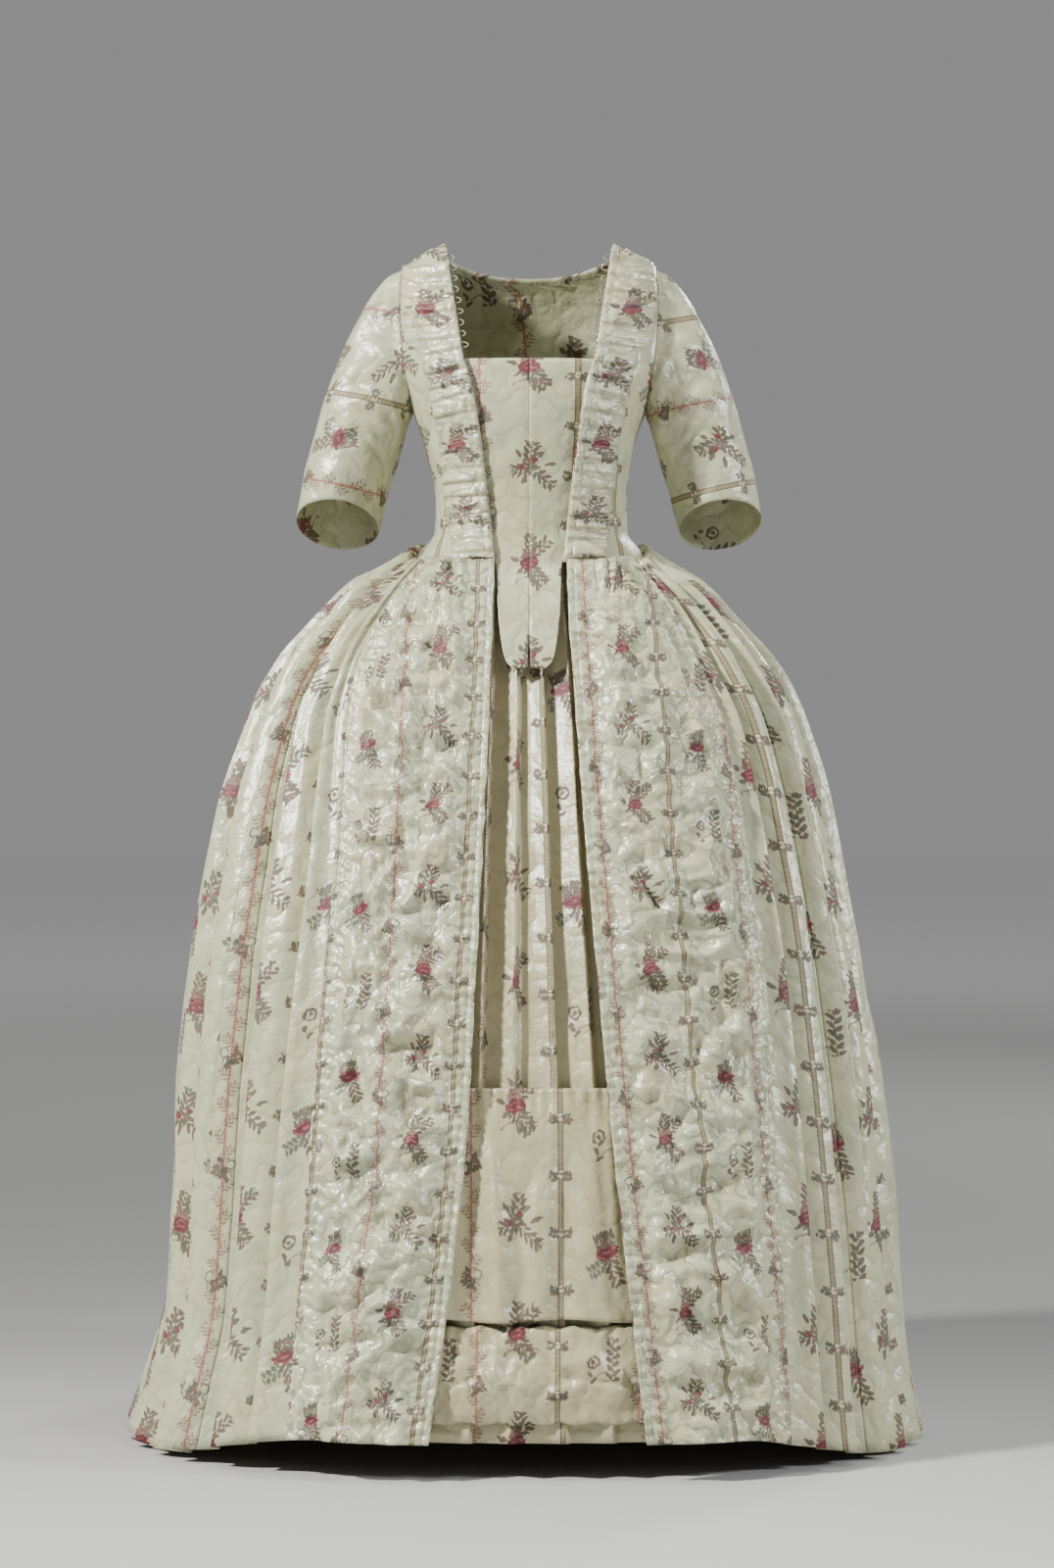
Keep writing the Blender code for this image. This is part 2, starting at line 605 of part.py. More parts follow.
def main():
    for old in list(bpy.data.objects):
        bpy.data.objects.remove(old)
    robe = bpy.data.collections.new("robe_a_la_francaise")
    bpy.context.scene.collection.children.link(robe)
    gown, trim = silk("gown_silk", GOWN_SILK), silk("trim_silk", TRIM_SILK)
    under, thread = silk("petticoat_silk", PETTICOAT_SILK), silk("loop_thread", LOOP_THREAD)

    cloth("bodice_back", bodice_back(), gown, robe)
    for side in SIDES:
        cloth(f"bodice_front_{side}", bodice_front(side), gown, robe)
        cloth(f"stomacher_{side}", stomacher(side), gown, robe)
        cloth(f"robing_{side}", robing(side), trim, robe)
        cloth(f"neck_loops_{side}", neck_loops(side), thread, robe)
        cloth(f"sleeve_{side}", sleeve(side), gown, robe, round_tube=True)
        for name, grid in skirt_panels(side).items():
            cloth(f"{name}_{side}", grid, gown, robe)
        cloth(f"skirt_trim_{side}", skirt_trim(side), trim, robe)
        cloth(f"sack_back_{side}", sack_back(side), gown, robe)
    cloth("petticoat_front", petticoat_front(), under, robe)
    cloth("petticoat_back", petticoat_back(), under, robe)
    flounce = petticoat_band(FLOUNCE_TOP, FLOUNCE_HEM, rise=(0, 0.002, 0.003, 0.004))
    puff = petticoat_band(PUFF_TOP, PUFF_HEM, rise=(0, 0.004, 0.004, 0))
    cloth("petticoat_flounce", flounce, under, robe)
    cloth("petticoat_puff", puff, under, robe)


main()
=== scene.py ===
# %% [markdown]
# # An open gown with a sack back and its petticoat
#
# Robe a la francaise, 1770s: a gown of pale silk brocaded with stripes and rose sprigs, open in front
# over a petticoat of the same silk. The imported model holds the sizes. This script dresses it: every
# sewn piece becomes a thin sheet of silk that follows its solid, with its pleats, gathers and puffs,
# and one procedural silk gives the weave, the stripes and the flowers.
#
# Metres, +Z up, the wearer faces -Y, and left and right are the wearer's own (left is +X).

import math

import bpy
import numpy as np
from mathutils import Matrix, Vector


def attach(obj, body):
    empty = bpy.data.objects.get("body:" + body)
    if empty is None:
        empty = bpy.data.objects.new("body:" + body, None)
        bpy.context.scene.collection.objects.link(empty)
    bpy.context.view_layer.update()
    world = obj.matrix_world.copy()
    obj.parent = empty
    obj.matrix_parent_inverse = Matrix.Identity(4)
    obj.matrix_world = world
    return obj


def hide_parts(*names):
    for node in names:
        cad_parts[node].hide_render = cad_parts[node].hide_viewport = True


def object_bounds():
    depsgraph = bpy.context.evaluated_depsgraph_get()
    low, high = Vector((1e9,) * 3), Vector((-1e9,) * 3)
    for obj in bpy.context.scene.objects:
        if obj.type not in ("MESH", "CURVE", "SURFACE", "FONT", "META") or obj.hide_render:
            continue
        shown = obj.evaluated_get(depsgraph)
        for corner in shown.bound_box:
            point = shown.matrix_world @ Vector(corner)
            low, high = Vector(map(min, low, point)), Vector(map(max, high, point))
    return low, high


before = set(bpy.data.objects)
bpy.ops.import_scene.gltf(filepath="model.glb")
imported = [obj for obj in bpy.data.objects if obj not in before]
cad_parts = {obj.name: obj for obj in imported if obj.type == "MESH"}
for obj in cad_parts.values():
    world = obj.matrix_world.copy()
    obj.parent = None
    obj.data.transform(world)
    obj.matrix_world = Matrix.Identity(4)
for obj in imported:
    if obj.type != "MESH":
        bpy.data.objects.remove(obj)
packed_box = [list(corner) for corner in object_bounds()]
print("packed box", [[round(value, 4) for value in corner] for corner in packed_box])

# %% [markdown]
# ## The worn figure
#
# Silk has no shape of its own, so everything hangs on the wearer: a laced bodice, wide hips held
# out by hoops, a long back. One table of half widths and depths by height gives that figure, and each
# piece of cloth is a stretch of it. The same table made the solids, so a sheet drawn from it lands on
# its solid. Smooth reading between the rows keeps the silhouette free of corners.

# %% Tables read smoothly at any height
SIDES = {"left": 1, "right": -1}


class Table:
    """Rows of numbers under named columns, read smoothly at any value of the first column."""

    def __init__(self, columns, *rows):
        names = columns.split()
        self.rows = dict(zip(names, np.array(sorted(rows), float).T))
        self.first = names[0]

    def at(self, column, where):
        """A cubic through the rows that never overshoots them."""
        x, y = self.rows[self.first], self.rows[column]
        step = np.diff(x)
        slope = np.diff(y) / step
        same_way = slope[1:] * slope[:-1] > 0
        total = np.where(same_way, slope[1:] + slope[:-1], 1.0)
        bend = np.where(same_way, 2 * slope[1:] * slope[:-1] / total, 0.0)
        tangent = np.concatenate([slope[:1], bend, slope[-1:]])
        where = np.clip(np.asarray(where, float), x[0], x[-1])
        row = np.clip(np.searchsorted(x, where) - 1, 0, len(step) - 1)
        t = (where - x[row]) / step[row]
        low = (2 * t**3 - 3 * t**2 + 1) * y[row] + (t**3 - 2 * t**2 + t) * step[row] * tangent[row]
        high = (3 * t**2 - 2 * t**3) * y[row + 1] + (t**3 - t**2) * step[row] * tangent[row + 1]
        return low + high


# %% The figure, from the shoulder seam to the floor
FIGURE = Table(
    "height  right  left   front  back",
    (0.000, 0.165, 0.165, 0.002, 0.002),
    (-0.004, 0.165, 0.165, 0.018, 0.018),
    (-0.012, 0.166, 0.166, 0.034, 0.032),
    (-0.030, 0.166, 0.166, 0.054, 0.052),
    (-0.060, 0.166, 0.166, 0.074, 0.074),
    (-0.100, 0.165, 0.165, 0.094, 0.090),
    (-0.140, 0.158, 0.158, 0.110, 0.098),
    (-0.170, 0.146, 0.146, 0.116, 0.099),
    (-0.191, 0.136, 0.137, 0.118, 0.098),
    (-0.230, 0.122, 0.123, 0.114, 0.090),
    (-0.265, 0.113, 0.116, 0.108, 0.082),
    (-0.300, 0.108, 0.114, 0.103, 0.077),
    (-0.335, 0.110, 0.115, 0.101, 0.077),
    (-0.352, 0.124, 0.128, 0.103, 0.082),
    (-0.372, 0.147, 0.148, 0.108, 0.096),
    (-0.403, 0.203, 0.199, 0.124, 0.130),
    (-0.445, 0.244, 0.237, 0.147, 0.168),
    (-0.487, 0.282, 0.275, 0.168, 0.203),
    (-0.520, 0.301, 0.296, 0.183, 0.228),
    (-0.570, 0.321, 0.315, 0.203, 0.260),
    (-0.650, 0.349, 0.336, 0.230, 0.304),
    (-0.750, 0.368, 0.355, 0.260, 0.346),
    (-0.850, 0.383, 0.374, 0.285, 0.382),
    (-0.970, 0.395, 0.394, 0.308, 0.418),
    (-1.100, 0.401, 0.409, 0.330, 0.452),
    (-1.220, 0.408, 0.419, 0.347, 0.486),
    (-1.290, 0.427, 0.428, 0.357, 0.512),
    (-1.371, 0.453, 0.444, 0.366, 0.548),
)
FLOOR = -1.371
ROUNDNESS = 2.3  # power of the superellipse of every level: 2 is an ellipse
STRAP_INNER, STRAP_OUTER, STRAP_DROP = 0.0965, 0.147, 0.026
ARMPIT, NECK_FRONT, NECK_BACK = -0.191, -0.141, -0.030
FRONT_SEAM, SIDE_SEAM, FRONT_HEM = -0.372, -0.352, -1.334
LAYER = 0.0030  # from the middle of one sheet to the middle of the sheet that lies on it
WALL = 0.0016
SEAM = 0.0003


def unit(vectors):
    """Each vector at length 1."""
    return vectors / np.maximum(np.linalg.norm(vectors, axis=-1, keepdims=True), 1e-9)


def ease(t):
    """0 to 1 with a soft start and end."""
    t = np.clip(t, 0.0, 1.0)
    return t * t * (3 - 2 * t)


def shoulder_drop(x):
    """How far the top of the strap has sloped at this distance from the centre."""
    return STRAP_DROP * np.clip((np.abs(x) - STRAP_INNER) / (STRAP_OUTER - STRAP_INNER), 0, 1)


def depth(x, z, side, facing):
    """Depth of the figure at this place, in front or at the back, before its sign."""
    half = FIGURE.at(side, z)
    below_ridge = z + shoulder_drop(x) * ease(1 + (z + 0.05) / 0.15)
    share = np.clip(np.abs(x) / half, 0, 1)
    return FIGURE.at(facing, below_ridge) * (1 - share**ROUNDNESS) ** (1 / ROUNDNESS)


def angle_at(x, z, side):
    """The front angle at which the figure is this far from the centre."""
    share = np.clip(x / FIGURE.at(side, z), 0, 1)
    return np.arcsin(share ** (ROUNDNESS / 2))


def on_figure(angle, z, side):
    """The point of the figure at this angle and height: 0 is the front, 90 degrees the side."""
    angle, z = np.broadcast_arrays(np.asarray(angle, float), np.asarray(z, float))
    x = FIGURE.at(side, z) * np.abs(np.sin(angle)) ** (2 / ROUNDNESS)
    front, back = depth(x, z, side, "front"), depth(x, z, side, "back")
    return np.stack([SIDES[side] * x, np.where(angle <= math.pi / 2, -front, back), z], axis=-1)


def moved_out(grid, distance):
    """The same grid of points moved away from the body along the surface's own normals."""
    normal = unit(np.cross(np.gradient(grid, axis=1), np.gradient(grid, axis=0)))
    outward = grid * (1, 1, 0) - (0, 0.05, 0)
    facing = np.sign(np.sum(normal * outward))
    distance = np.asarray(distance, float)
    return grid + normal * facing * (distance[..., None] if distance.ndim else distance)


def along(grid, axis):
    """Distance walked over the grid along one axis, from 0 at its start."""
    steps = np.linalg.norm(np.diff(grid, axis=axis), axis=-1)
    start = np.zeros_like(np.take(steps, [0], axis=axis))
    return np.concatenate([start, np.cumsum(steps, axis=axis)], axis=axis)


print("figure", len(FIGURE.rows["height"]), "levels; hem half width", FIGURE.at("left", FLOOR))

# %% [markdown]
# ## From a grid of points to a sheet of silk
#
# A sheet is easiest to steer as a grid: rows run down the cloth and columns across it. Its second grid,
# the cloth coordinates, says where each point was on the flat silk, in metres, so the woven stripes
# follow every pleat as they do on a real gown. A cloth simulation could drape the skirt, but the pleats
# are pressed and stitched by hand here, so they are placed one by one too. Solidify gives the thickness.

# %% Sheets of silk
SILK_THICK = 0.0007
finished = []


def sheet_of_silk(node, grid, cloth, silk, round_tube=False):
    """Makes one piece from its grid of points and its grid of cloth coordinates (across, down)."""
    name = f"{node}_silk"
    if round_tube:
        grid = np.concatenate([grid, grid[:, :1]], axis=1)
    rows, columns = grid.shape[:2]
    index = np.arange(rows * columns).reshape(rows, columns)
    faces = np.stack([index[:-1, :-1], index[1:, :-1], index[1:, 1:], index[:-1, 1:]], axis=-1)
    mesh = bpy.data.meshes.new(name)
    mesh.from_pydata(grid.reshape(-1, 3).tolist(), [], faces.reshape(-1, 4).tolist())
    layer = mesh.uv_layers.new(name="cloth")
    corners = np.zeros(len(mesh.loops), np.int32)
    mesh.loops.foreach_get("vertex_index", corners)
    layer.data.foreach_set("uv", cloth.reshape(-1, 2)[corners].astype(np.float32).ravel())
    mesh.shade_smooth()
    mesh.materials.append(silk)
    piece = bpy.data.objects.new(name, mesh)
    bpy.context.scene.collection.objects.link(piece)
    wall = piece.modifiers.new("thickness of the silk", "SOLIDIFY")
    wall.thickness = SILK_THICK
    wall.offset = 0.0
    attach(piece, "root")
    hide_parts(node)
    finished.append(piece)
    across_steps, down_steps = np.diff(grid, axis=1)[:-1], np.diff(grid, axis=0)[:, :-1]
    area = float(np.linalg.norm(np.cross(across_steps, down_steps), axis=-1).sum())
    span = np.ptp(cloth.reshape(-1, 2), axis=0)
    print(f"{name}: {rows} x {columns} points, {area:.3f} m2 shown, cloth {span[0]:.2f} x {span[1]:.2f} m")
    return piece


def ridge(across, down, path, width, height):
    """A soft ridge (or trough, if height is negative) along a path of (across, down) points."""
    total = np.zeros(np.broadcast(across, down).shape)
    path = np.array(path, float)
    length = np.linalg.norm(np.diff(path, axis=0), axis=1)
    walked = np.concatenate([[0], np.cumsum(length)]) / length.sum()
    for (a, b), start, end in zip(zip(path[:-1], path[1:]), walked[:-1], walked[1:]):
        step = b - a
        t = np.clip(((across - a[0]) * step[0] + (down - a[1]) * step[1]) / (step @ step), 0, 1)
        away = np.hypot(across - a[0] - t * step[0], down - a[1] - t * step[1])
        fade = np.sin(math.pi * np.clip(0.08 + 0.84 * (start + (end - start) * t), 0, 1)) ** 0.6
        total = np.maximum(total, np.exp(-((away / width) ** 2)) * fade)
    return height * total


def puffs(across, down, size, seed, reach=1.0):
    """Crushed puffs: rounded cushions between creases, each tilted its own way. About -1 to 1."""
    draw = np.random.default_rng(seed)
    low = np.array([across.min(), down.min()]) - size
    high = np.array([across.max(), down.max()]) + size
    wide = np.array([size * reach, size])
    counts = np.maximum(((high - low) / wide).astype(int), 1)
    corner = np.stack(np.meshgrid(np.arange(counts[0]), np.arange(counts[1])), axis=-1).reshape(-1, 2)
    stagger = np.stack([0.5 * (corner[:, 1] % 2), np.zeros(len(corner))], axis=-1)
    centres = low + (corner + stagger + draw.uniform(0.12, 0.88, corner.shape)) * wide
    tilts = draw.normal(0, 0.55, corner.shape)
    swell = draw.uniform(0.55, 1.0, len(corner))
    nearest = np.full(across.shape, 1e9)
    second = np.full(across.shape, 1e9)
    height = np.zeros(across.shape)
    for centre, tilt, rise in zip(centres, tilts, swell):
        x, y = (across - centre[0]) / wide[0], (down - centre[1]) / wide[1]
        away = np.hypot(x, y)
        closer = away < nearest
        second = np.where(closer, nearest, np.minimum(second, away))
        height = np.where(closer, rise + tilt[0] * x + tilt[1] * y, height)
        nearest = np.where(closer, away, nearest)
    crease = 1 - np.exp(-((second - nearest) / 0.22))
    return height * crease


def facets(across, down, size, seed, reach=1.0):
    """Crisp crushed silk: flat faces of random tilt that meet in sharp creases. About -1 to 1."""
    draw = np.random.default_rng(seed)
    bend = 0.30 * size
    x = (across + bend * ripple(across, down, 2.3 * size, seed + 1)) / (size * reach)
    y = (down + bend * ripple(across, down, 2.3 * size, seed + 2)) / size
    skew = (x + y) * (math.sqrt(3) - 1) / 2
    i, j = x + skew, y + skew
    i, j = i - math.floor(i.min()), j - math.floor(j.min())
    column, row = np.floor(i).astype(int), np.floor(j).astype(int)
    u, v = i - column, j - row
    heights = draw.uniform(-1, 1, (column.max() + 2, row.max() + 2))
    near, far = heights[column, row], heights[column + 1, row + 1]
    lower = near * (1 - u) + heights[column + 1, row] * (u - v) + far * v
    upper = near * (1 - v) + heights[column, row + 1] * (v - u) + far * u
    return np.where(u > v, lower, upper)


def ripple(across, down, size, seed):
    """Gentle uneven waves about -1 to 1, of this size in metres."""
    draw = np.random.default_rng(seed)
    total = np.zeros(np.broadcast(across, down).shape)
    for _ in range(7):
        turn, stretch, start = draw.uniform(0, math.pi), draw.uniform(0.6, 1.7), draw.uniform(0, 6.28)
        wave = (across * math.cos(turn) + down * math.sin(turn)) * stretch * 2 * math.pi / size
        total = total + np.sin(wave + start)
    return total / 3.2


# %% [markdown]
# ## The skirt of the gown
#
# Each side of the skirt is pleated into the waist seam over the hips and opens out to its full width at
# the hem. A pleat is a rounded ridge with a narrow underfold behind it, so it casts a thin shadow. The
# pleats are placed by a table of ridges. Between two ridges the flat silk is simply hidden in
# the underfold: the cloth coordinates are measured back from each ridge, and jump across the fold.

# %% The two front edges, the pleats and the hems
FRONTS = Table(
    "height  right  right_trim  left   left_trim",
    (-0.372, 0.039, 0.118, 0.043, 0.120),
    (-0.440, 0.041, 0.168, 0.045, 0.168),
    (-0.500, 0.043, 0.193, 0.049, 0.193),
    (-0.560, 0.045, 0.207, 0.053, 0.217),
    (-0.700, 0.051, 0.213, 0.063, 0.240),
    (-0.830, 0.058, 0.223, 0.074, 0.255),
    (-1.000, 0.067, 0.236, 0.089, 0.267),
    (-1.170, 0.085, 0.248, 0.107, 0.275),
    (-1.335, 0.108, 0.260, 0.126, 0.282),
)
PLEATS = Table(
    "waist  hem    hip     middle  hem_depth",
    (0.030, 0.055, 0.0030, 0.0040, 0.0050),
    (0.100, 0.125, 0.0045, 0.0060, 0.0045),
    (0.170, 0.200, 0.0055, 0.0080, 0.0075),
    (0.245, 0.270, 0.0050, 0.0060, 0.0050),
    (0.320, 0.345, 0.0060, 0.0090, 0.0080),
    (0.400, 0.425, 0.0055, 0.0070, 0.0060),
    (0.485, 0.505, 0.0060, 0.0085, 0.0085),
    (0.570, 0.590, 0.0055, 0.0065, 0.0060),
    (0.660, 0.675, 0.0060, 0.0090, 0.0090),
    (0.755, 0.765, 0.0055, 0.0080, 0.0070),
    (0.855, 0.860, 0.0050, 0.0085, 0.0085),
)
SACK = Table(
    "height  half   depth  relief",
    (0.000, 0.070, 0.060, 0.0035),
    (-0.030, 0.074, 0.062, 0.0035),
    (-0.100, 0.082, 0.104, 0.0040),
    (-0.200, 0.090, 0.128, 0.0050),
    (-0.300, 0.094, 0.154, 0.0065),
    (-0.372, 0.104, 0.176, 0.0080),
    (-0.500, 0.122, 0.230, 0.0100),
    (-0.750, 0.162, 0.352, 0.0120),
    (-1.000, 0.205, 0.436, 0.0130),
    (-1.371, 0.268, 0.562, 0.0140),
)
SKIRT_LAP = 0.0015  # the skirt's gathered edge laps over the bodice's
UNDERFOLD = 0.15  # the hidden side of a pleat, as a share of the way to the next ridge
OVERHANG = 0.085  # how far a pressed ridge leans over its underfold, in pleats
PRESSED = 2.05  # the silk's pleats stand this much prouder than the solid's
KNOTS_WAIST = np.concatenate([[0.0], PLEATS.rows["waist"], [1.0]])
KNOTS_HEM = np.concatenate([[0.0], PLEATS.rows["hem"], [1.0]])


def waist_seam(angle):
    """Height of the waist seam round the figure: lowest at the front."""
    return FRONT_SEAM + (SIDE_SEAM - FRONT_SEAM) * ease((angle - 0.8) / 0.7)


def hem(angle):
    """Height of the gown's hem: off the floor in front, on the floor at the sides and back."""
    return FRONT_HEM + (FLOOR - FRONT_HEM) * ease((angle - 0.45) / 0.8)


def skirt_angle(place, z, side):
    """-1 to 0 runs over the trimmed front from its edge, 0 to 1 from there to the sack back."""
    edge, trim = FRONTS.at(side, z), FRONTS.at(side + "_trim", z)
    on_front = angle_at(edge + (trim - edge) * (np.minimum(place, 0) + 1), z, side)
    sack = math.pi - angle_at(SACK.at("half", z), z, side)
    return np.where(place <= 0, on_front, on_front + (sack - on_front) * np.maximum(place, 0))


def leaning(pleat):
    """The pleat count with each ridge pushed forward over its underfold."""
    ridge_near = np.clip(np.round(pleat), 1, 11)
    push = OVERHANG * np.exp(-(((pleat - ridge_near) / 0.075) ** 2))
    return pleat + push


def skirt_base(pleat, down, side):
    """Smooth skirt under the pleats. pleat counts ridges from the trimming, and is negative under it."""
    pleat = leaning(pleat)
    place_waist = np.where(pleat < 0, pleat, np.interp(pleat, np.arange(13), KNOTS_WAIST))
    place_hem = np.where(pleat < 0, pleat, np.interp(pleat, np.arange(13), KNOTS_HEM))
    place = place_waist + (place_hem - place_waist) * down
    around = skirt_angle(place, np.full_like(place, -0.7), side)
    top = waist_seam(around) + SKIRT_LAP
    z = top + (hem(around) - top) * down
    return on_figure(skirt_angle(place, z, side), z, side)


def pleat_relief(pleat, down):
    """How far the cloth stands out of the smooth skirt: ridges, narrow underfolds, slow slopes."""
    ridge_number = np.clip(np.floor(pleat).astype(int), 0, 12)
    part = pleat - ridge_number
    stands = np.zeros_like(pleat)
    sizes = [PLEATS.rows[name] for name in ("hip", "middle", "hem_depth")]
    for number in range(12):
        here = ridge_number == number
        levels = []
        for which in (number - 1, number):
            if 0 <= which <= 10:
                hip, middle, low = (size[which] for size in sizes)
                fall = Table("down depth", (0.0, hip * 0.7), (0.05, hip), (0.4, middle), (1.0, low))
                levels.append(fall.at("depth", down))
            else:
                levels.append(np.zeros_like(down))
        drop = ease(part / UNDERFOLD)
        rise = np.clip((part - UNDERFOLD) / (1 - UNDERFOLD), 0, 1)
        bow = 0.25 * np.sin(math.pi * rise) * (1 if number % 2 else -0.6)
        climb = rise**1.25 + bow
        profile = levels[0] * (1 - 2 * drop) + (levels[0] + levels[1]) * climb
        stands = np.where(here, profile, stands)
    return np.where(pleat < 0, 0.0, PRESSED * stands)


print("pleats on each side:", len(PLEATS.rows["waist"]))

# %% The cloth coordinates of the pleated skirt
SKIRT_PHASE = {"left": 0.122, "right": 0.075}  # pattern across at the trimming's outer edge, at the hem
ROWS = 118
LAST_PLEAT = 12


def skirt_cloth(grid, pleat, side):
    """Across and down on the flat silk for every point of one side of the skirt."""
    walked = along(grid, 1)
    trimming_edge = np.interp(0.0, pleat[-1], walked[-1])
    ridges = np.arange(1, LAST_PLEAT + 1)
    on_ridge = np.interp(ridges, pleat[-1], walked[-1]) - trimming_edge
    ahead = np.clip(np.floor(pleat[0]).astype(int), 0, LAST_PLEAT - 1)
    part = pleat[0] - ahead
    across = np.zeros(pleat.shape)
    for row in range(len(pleat)):
        ridge_here = np.interp(ridges, pleat[row], walked[row])
        flat = on_ridge[ahead] - (ridge_here[ahead] - walked[row])
        fold_end = np.interp(ahead + UNDERFOLD, pleat[row], walked[row])
        flat_end = on_ridge[ahead] - (ridge_here[ahead] - fold_end)
        behind = on_ridge[np.maximum(ahead - 1, 0)]
        hidden = behind + (flat_end - behind) * np.clip(part / UNDERFOLD, 0, 1)
        across[row] = np.where((part < UNDERFOLD) & (ahead > 0), hidden, flat)
    down = along(grid, 0)
    return np.stack([SIDES[side] * across + SKIRT_PHASE[side], down - down[-1:]], axis=-1)


# %% [markdown]
# ## Skirt creases placed one by one
#
# Between the pleats the silk of the real skirt is not smooth: short slanting dents leave the waist,
# long shallow troughs run towards the hem, and the hem itself rolls in and out. They are drawn
# here as soft paths in the skirt's own sizes: pleats across and metres down.

# %% Creases of the skirt, and its three panels
SKIRT_CREASES = (
    # (pleat, drop) of each point, width in pleats, height
    (((0.5, 0.02), (0.7, 0.16), (0.5, 0.34)), 0.16, -0.0020),
    (((1.4, 0.05), (1.6, 0.22), (1.5, 0.52)), 0.14, 0.0022),
    (((2.5, 0.03), (2.7, 0.14), (2.6, 0.30)), 0.15, -0.0024),
    (((3.4, 0.30), (3.6, 0.55), (3.5, 0.86)), 0.20, 0.0030),
    (((4.6, 0.08), (4.5, 0.30), (4.7, 0.62)), 0.14, -0.0026),
    (((5.5, 0.45), (5.7, 0.70), (5.6, 0.98)), 0.22, 0.0034),
    (((6.5, 0.04), (6.6, 0.25), (6.4, 0.48)), 0.15, 0.0020),
    (((7.6, 0.35), (7.4, 0.62), (7.6, 0.90)), 0.20, -0.0030),
    (((8.4, 0.10), (8.6, 0.40), (8.5, 0.70)), 0.16, 0.0024),
    (((9.5, 0.40), (9.6, 0.70), (9.4, 0.99)), 0.24, 0.0034),
    (((10.5, 0.15), (10.6, 0.45), (10.5, 0.80)), 0.20, -0.0028),
)
PLEAT_WIDTH = 0.09  # metres that one pleat takes at mid skirt, to measure the creases evenly
HIP_GATHERS = 2.5  # small gathers in each pleat at the waist seam
GATHER_RISE, GATHER_REACH = 0.0036, 0.07  # how far they stand out, and how far down they fade
SKIRT_SHEETS = (
    # piece, first and last pleat, columns, width and length of its flat cut, its area
    ("skirt_front", -1.0, 2.64, 96, (0.33, 1.06), 0.33),
    ("skirt_side", 2.64, 8.64, 138, (0.51, 1.12), 0.50),
    ("skirt_back", 8.64, 12.0, 80, (0.36, 1.14), 0.36),
)


def skirt_creased(base, pleat, down, side):
    """The smooth skirt with its pleats, its creases and the roll of its hem."""
    drop = along(base, 0)
    across = pleat * PLEAT_WIDTH
    stands = pleat_relief(pleat, down)
    shift, strength = (0.0, 1.0) if side == "right" else (0.22, 0.85)
    for path, width, height in SKIRT_CREASES:
        placed = [((x + shift) * PLEAT_WIDTH, y) for x, y in path]
        stands = stands + ridge(across, drop, placed, width * PLEAT_WIDTH, height * strength)
    seed = 11 if side == "left" else 17
    walked = along(base, 1)
    rumple = 0.0011 * ripple(walked, drop * 0.35, 0.12, seed)
    rumple = rumple + 0.0016 * facets(walked, drop * 0.4, 0.040, seed)
    waves = np.abs(np.sin(math.pi * HIP_GATHERS * pleat + ripple(across, drop, 0.1, seed)))
    gathers = GATHER_RISE * np.exp(-drop / GATHER_REACH) * ease(drop / 0.006) * waves
    off_trimming = np.clip(pleat * 2, 0, 1)
    return moved_out(base, stands + (rumple * ease(drop / 0.03) + gathers) * off_trimming)


def skirt_sheets(side, silk):
    """The front, side and back panels of one side of the skirt."""
    counts = []
    for _, first, last, columns, _, _ in SKIRT_SHEETS:
        even = np.linspace(first, last, columns)
        closer = 0.75 * np.sin(math.tau * even) / math.tau * (even > 0.5) * (even < 11.5)
        ends = np.clip(np.minimum(even - first, last - even) / 0.2, 0, 1)
        counts.append(even - closer * ends)
    pleat = np.concatenate([counts[0]] + [count[1:] for count in counts[1:]])[None, :] + np.zeros((ROWS, 1))
    share = np.linspace(0, 1, ROWS)
    down = (0.35 * share**2 + 0.65 * share)[:, None] + 0 * pleat
    grid = skirt_creased(skirt_base(pleat, down, side), pleat, down, side)
    cloth = skirt_cloth(grid, pleat, side)
    start = 0
    for name, _, _, columns, flat, area in SKIRT_SHEETS:
        part = slice(start, start + columns)
        start += columns - 1
        piece = sheet_of_silk(f"{name}_{side}", grid[:, part], cloth[:, part], silk)


# %% [markdown]
# ## The ruched trimming of the skirt fronts
#
# A long strip of the silk, cut wider and longer than the place it covers, is gathered along both edges
# and caught down here and there, so the middle blisters into crushed puffs. The gathered headings are
# rows of small cross tucks beside a line of stitches. The crushed middle is drawn as flat faces between
# sharp creases, each face tilted its own way, with soft puffs under them. That gives the broken shine
# of crushed taffeta. The top of the band is drawn up into small upright gathers at the waist.

# %% The ruched bands
TRIM_ROWS, TRIM_COLUMNS = 310, 88
TRIM_TAKE_UP = (0.680, 0.745)  # share of the flat strip's width and length that the band covers
TRIM_HEADING = {"inner": 0.022, "outer": 0.020}  # width of the gathered edges
TUCK_PITCH = 0.0125
TRIM_START = -0.003  # the band starts a little above the waist seam, under the robing
CRUSH_MIDDLE = 0.0098  # how far the crushed silk stands off the skirt on the whole
BIG_FACET, BIG_RISE = 0.028, 0.0116  # size and height of the main faces of the crushed silk
SMALL_FACET, SMALL_RISE = 0.014, 0.0040
PUFF_SIZE, PUFF_RISE = 0.030, 0.0010
CRUSH_STRENGTH = {"left": 0.9, "right": 1.0}
HEADING_RISE, HEADING_TUCK = 0.0008, 0.0030
WAIST_PITCH, WAIST_RISE, WAIST_REACH = 0.015, 0.0120, 0.055  # gathers at the band's top
TRIM_PHASE = {"left": (0.086, -0.062), "right": (0.026, -0.062)}  # pattern at the band's inner edge
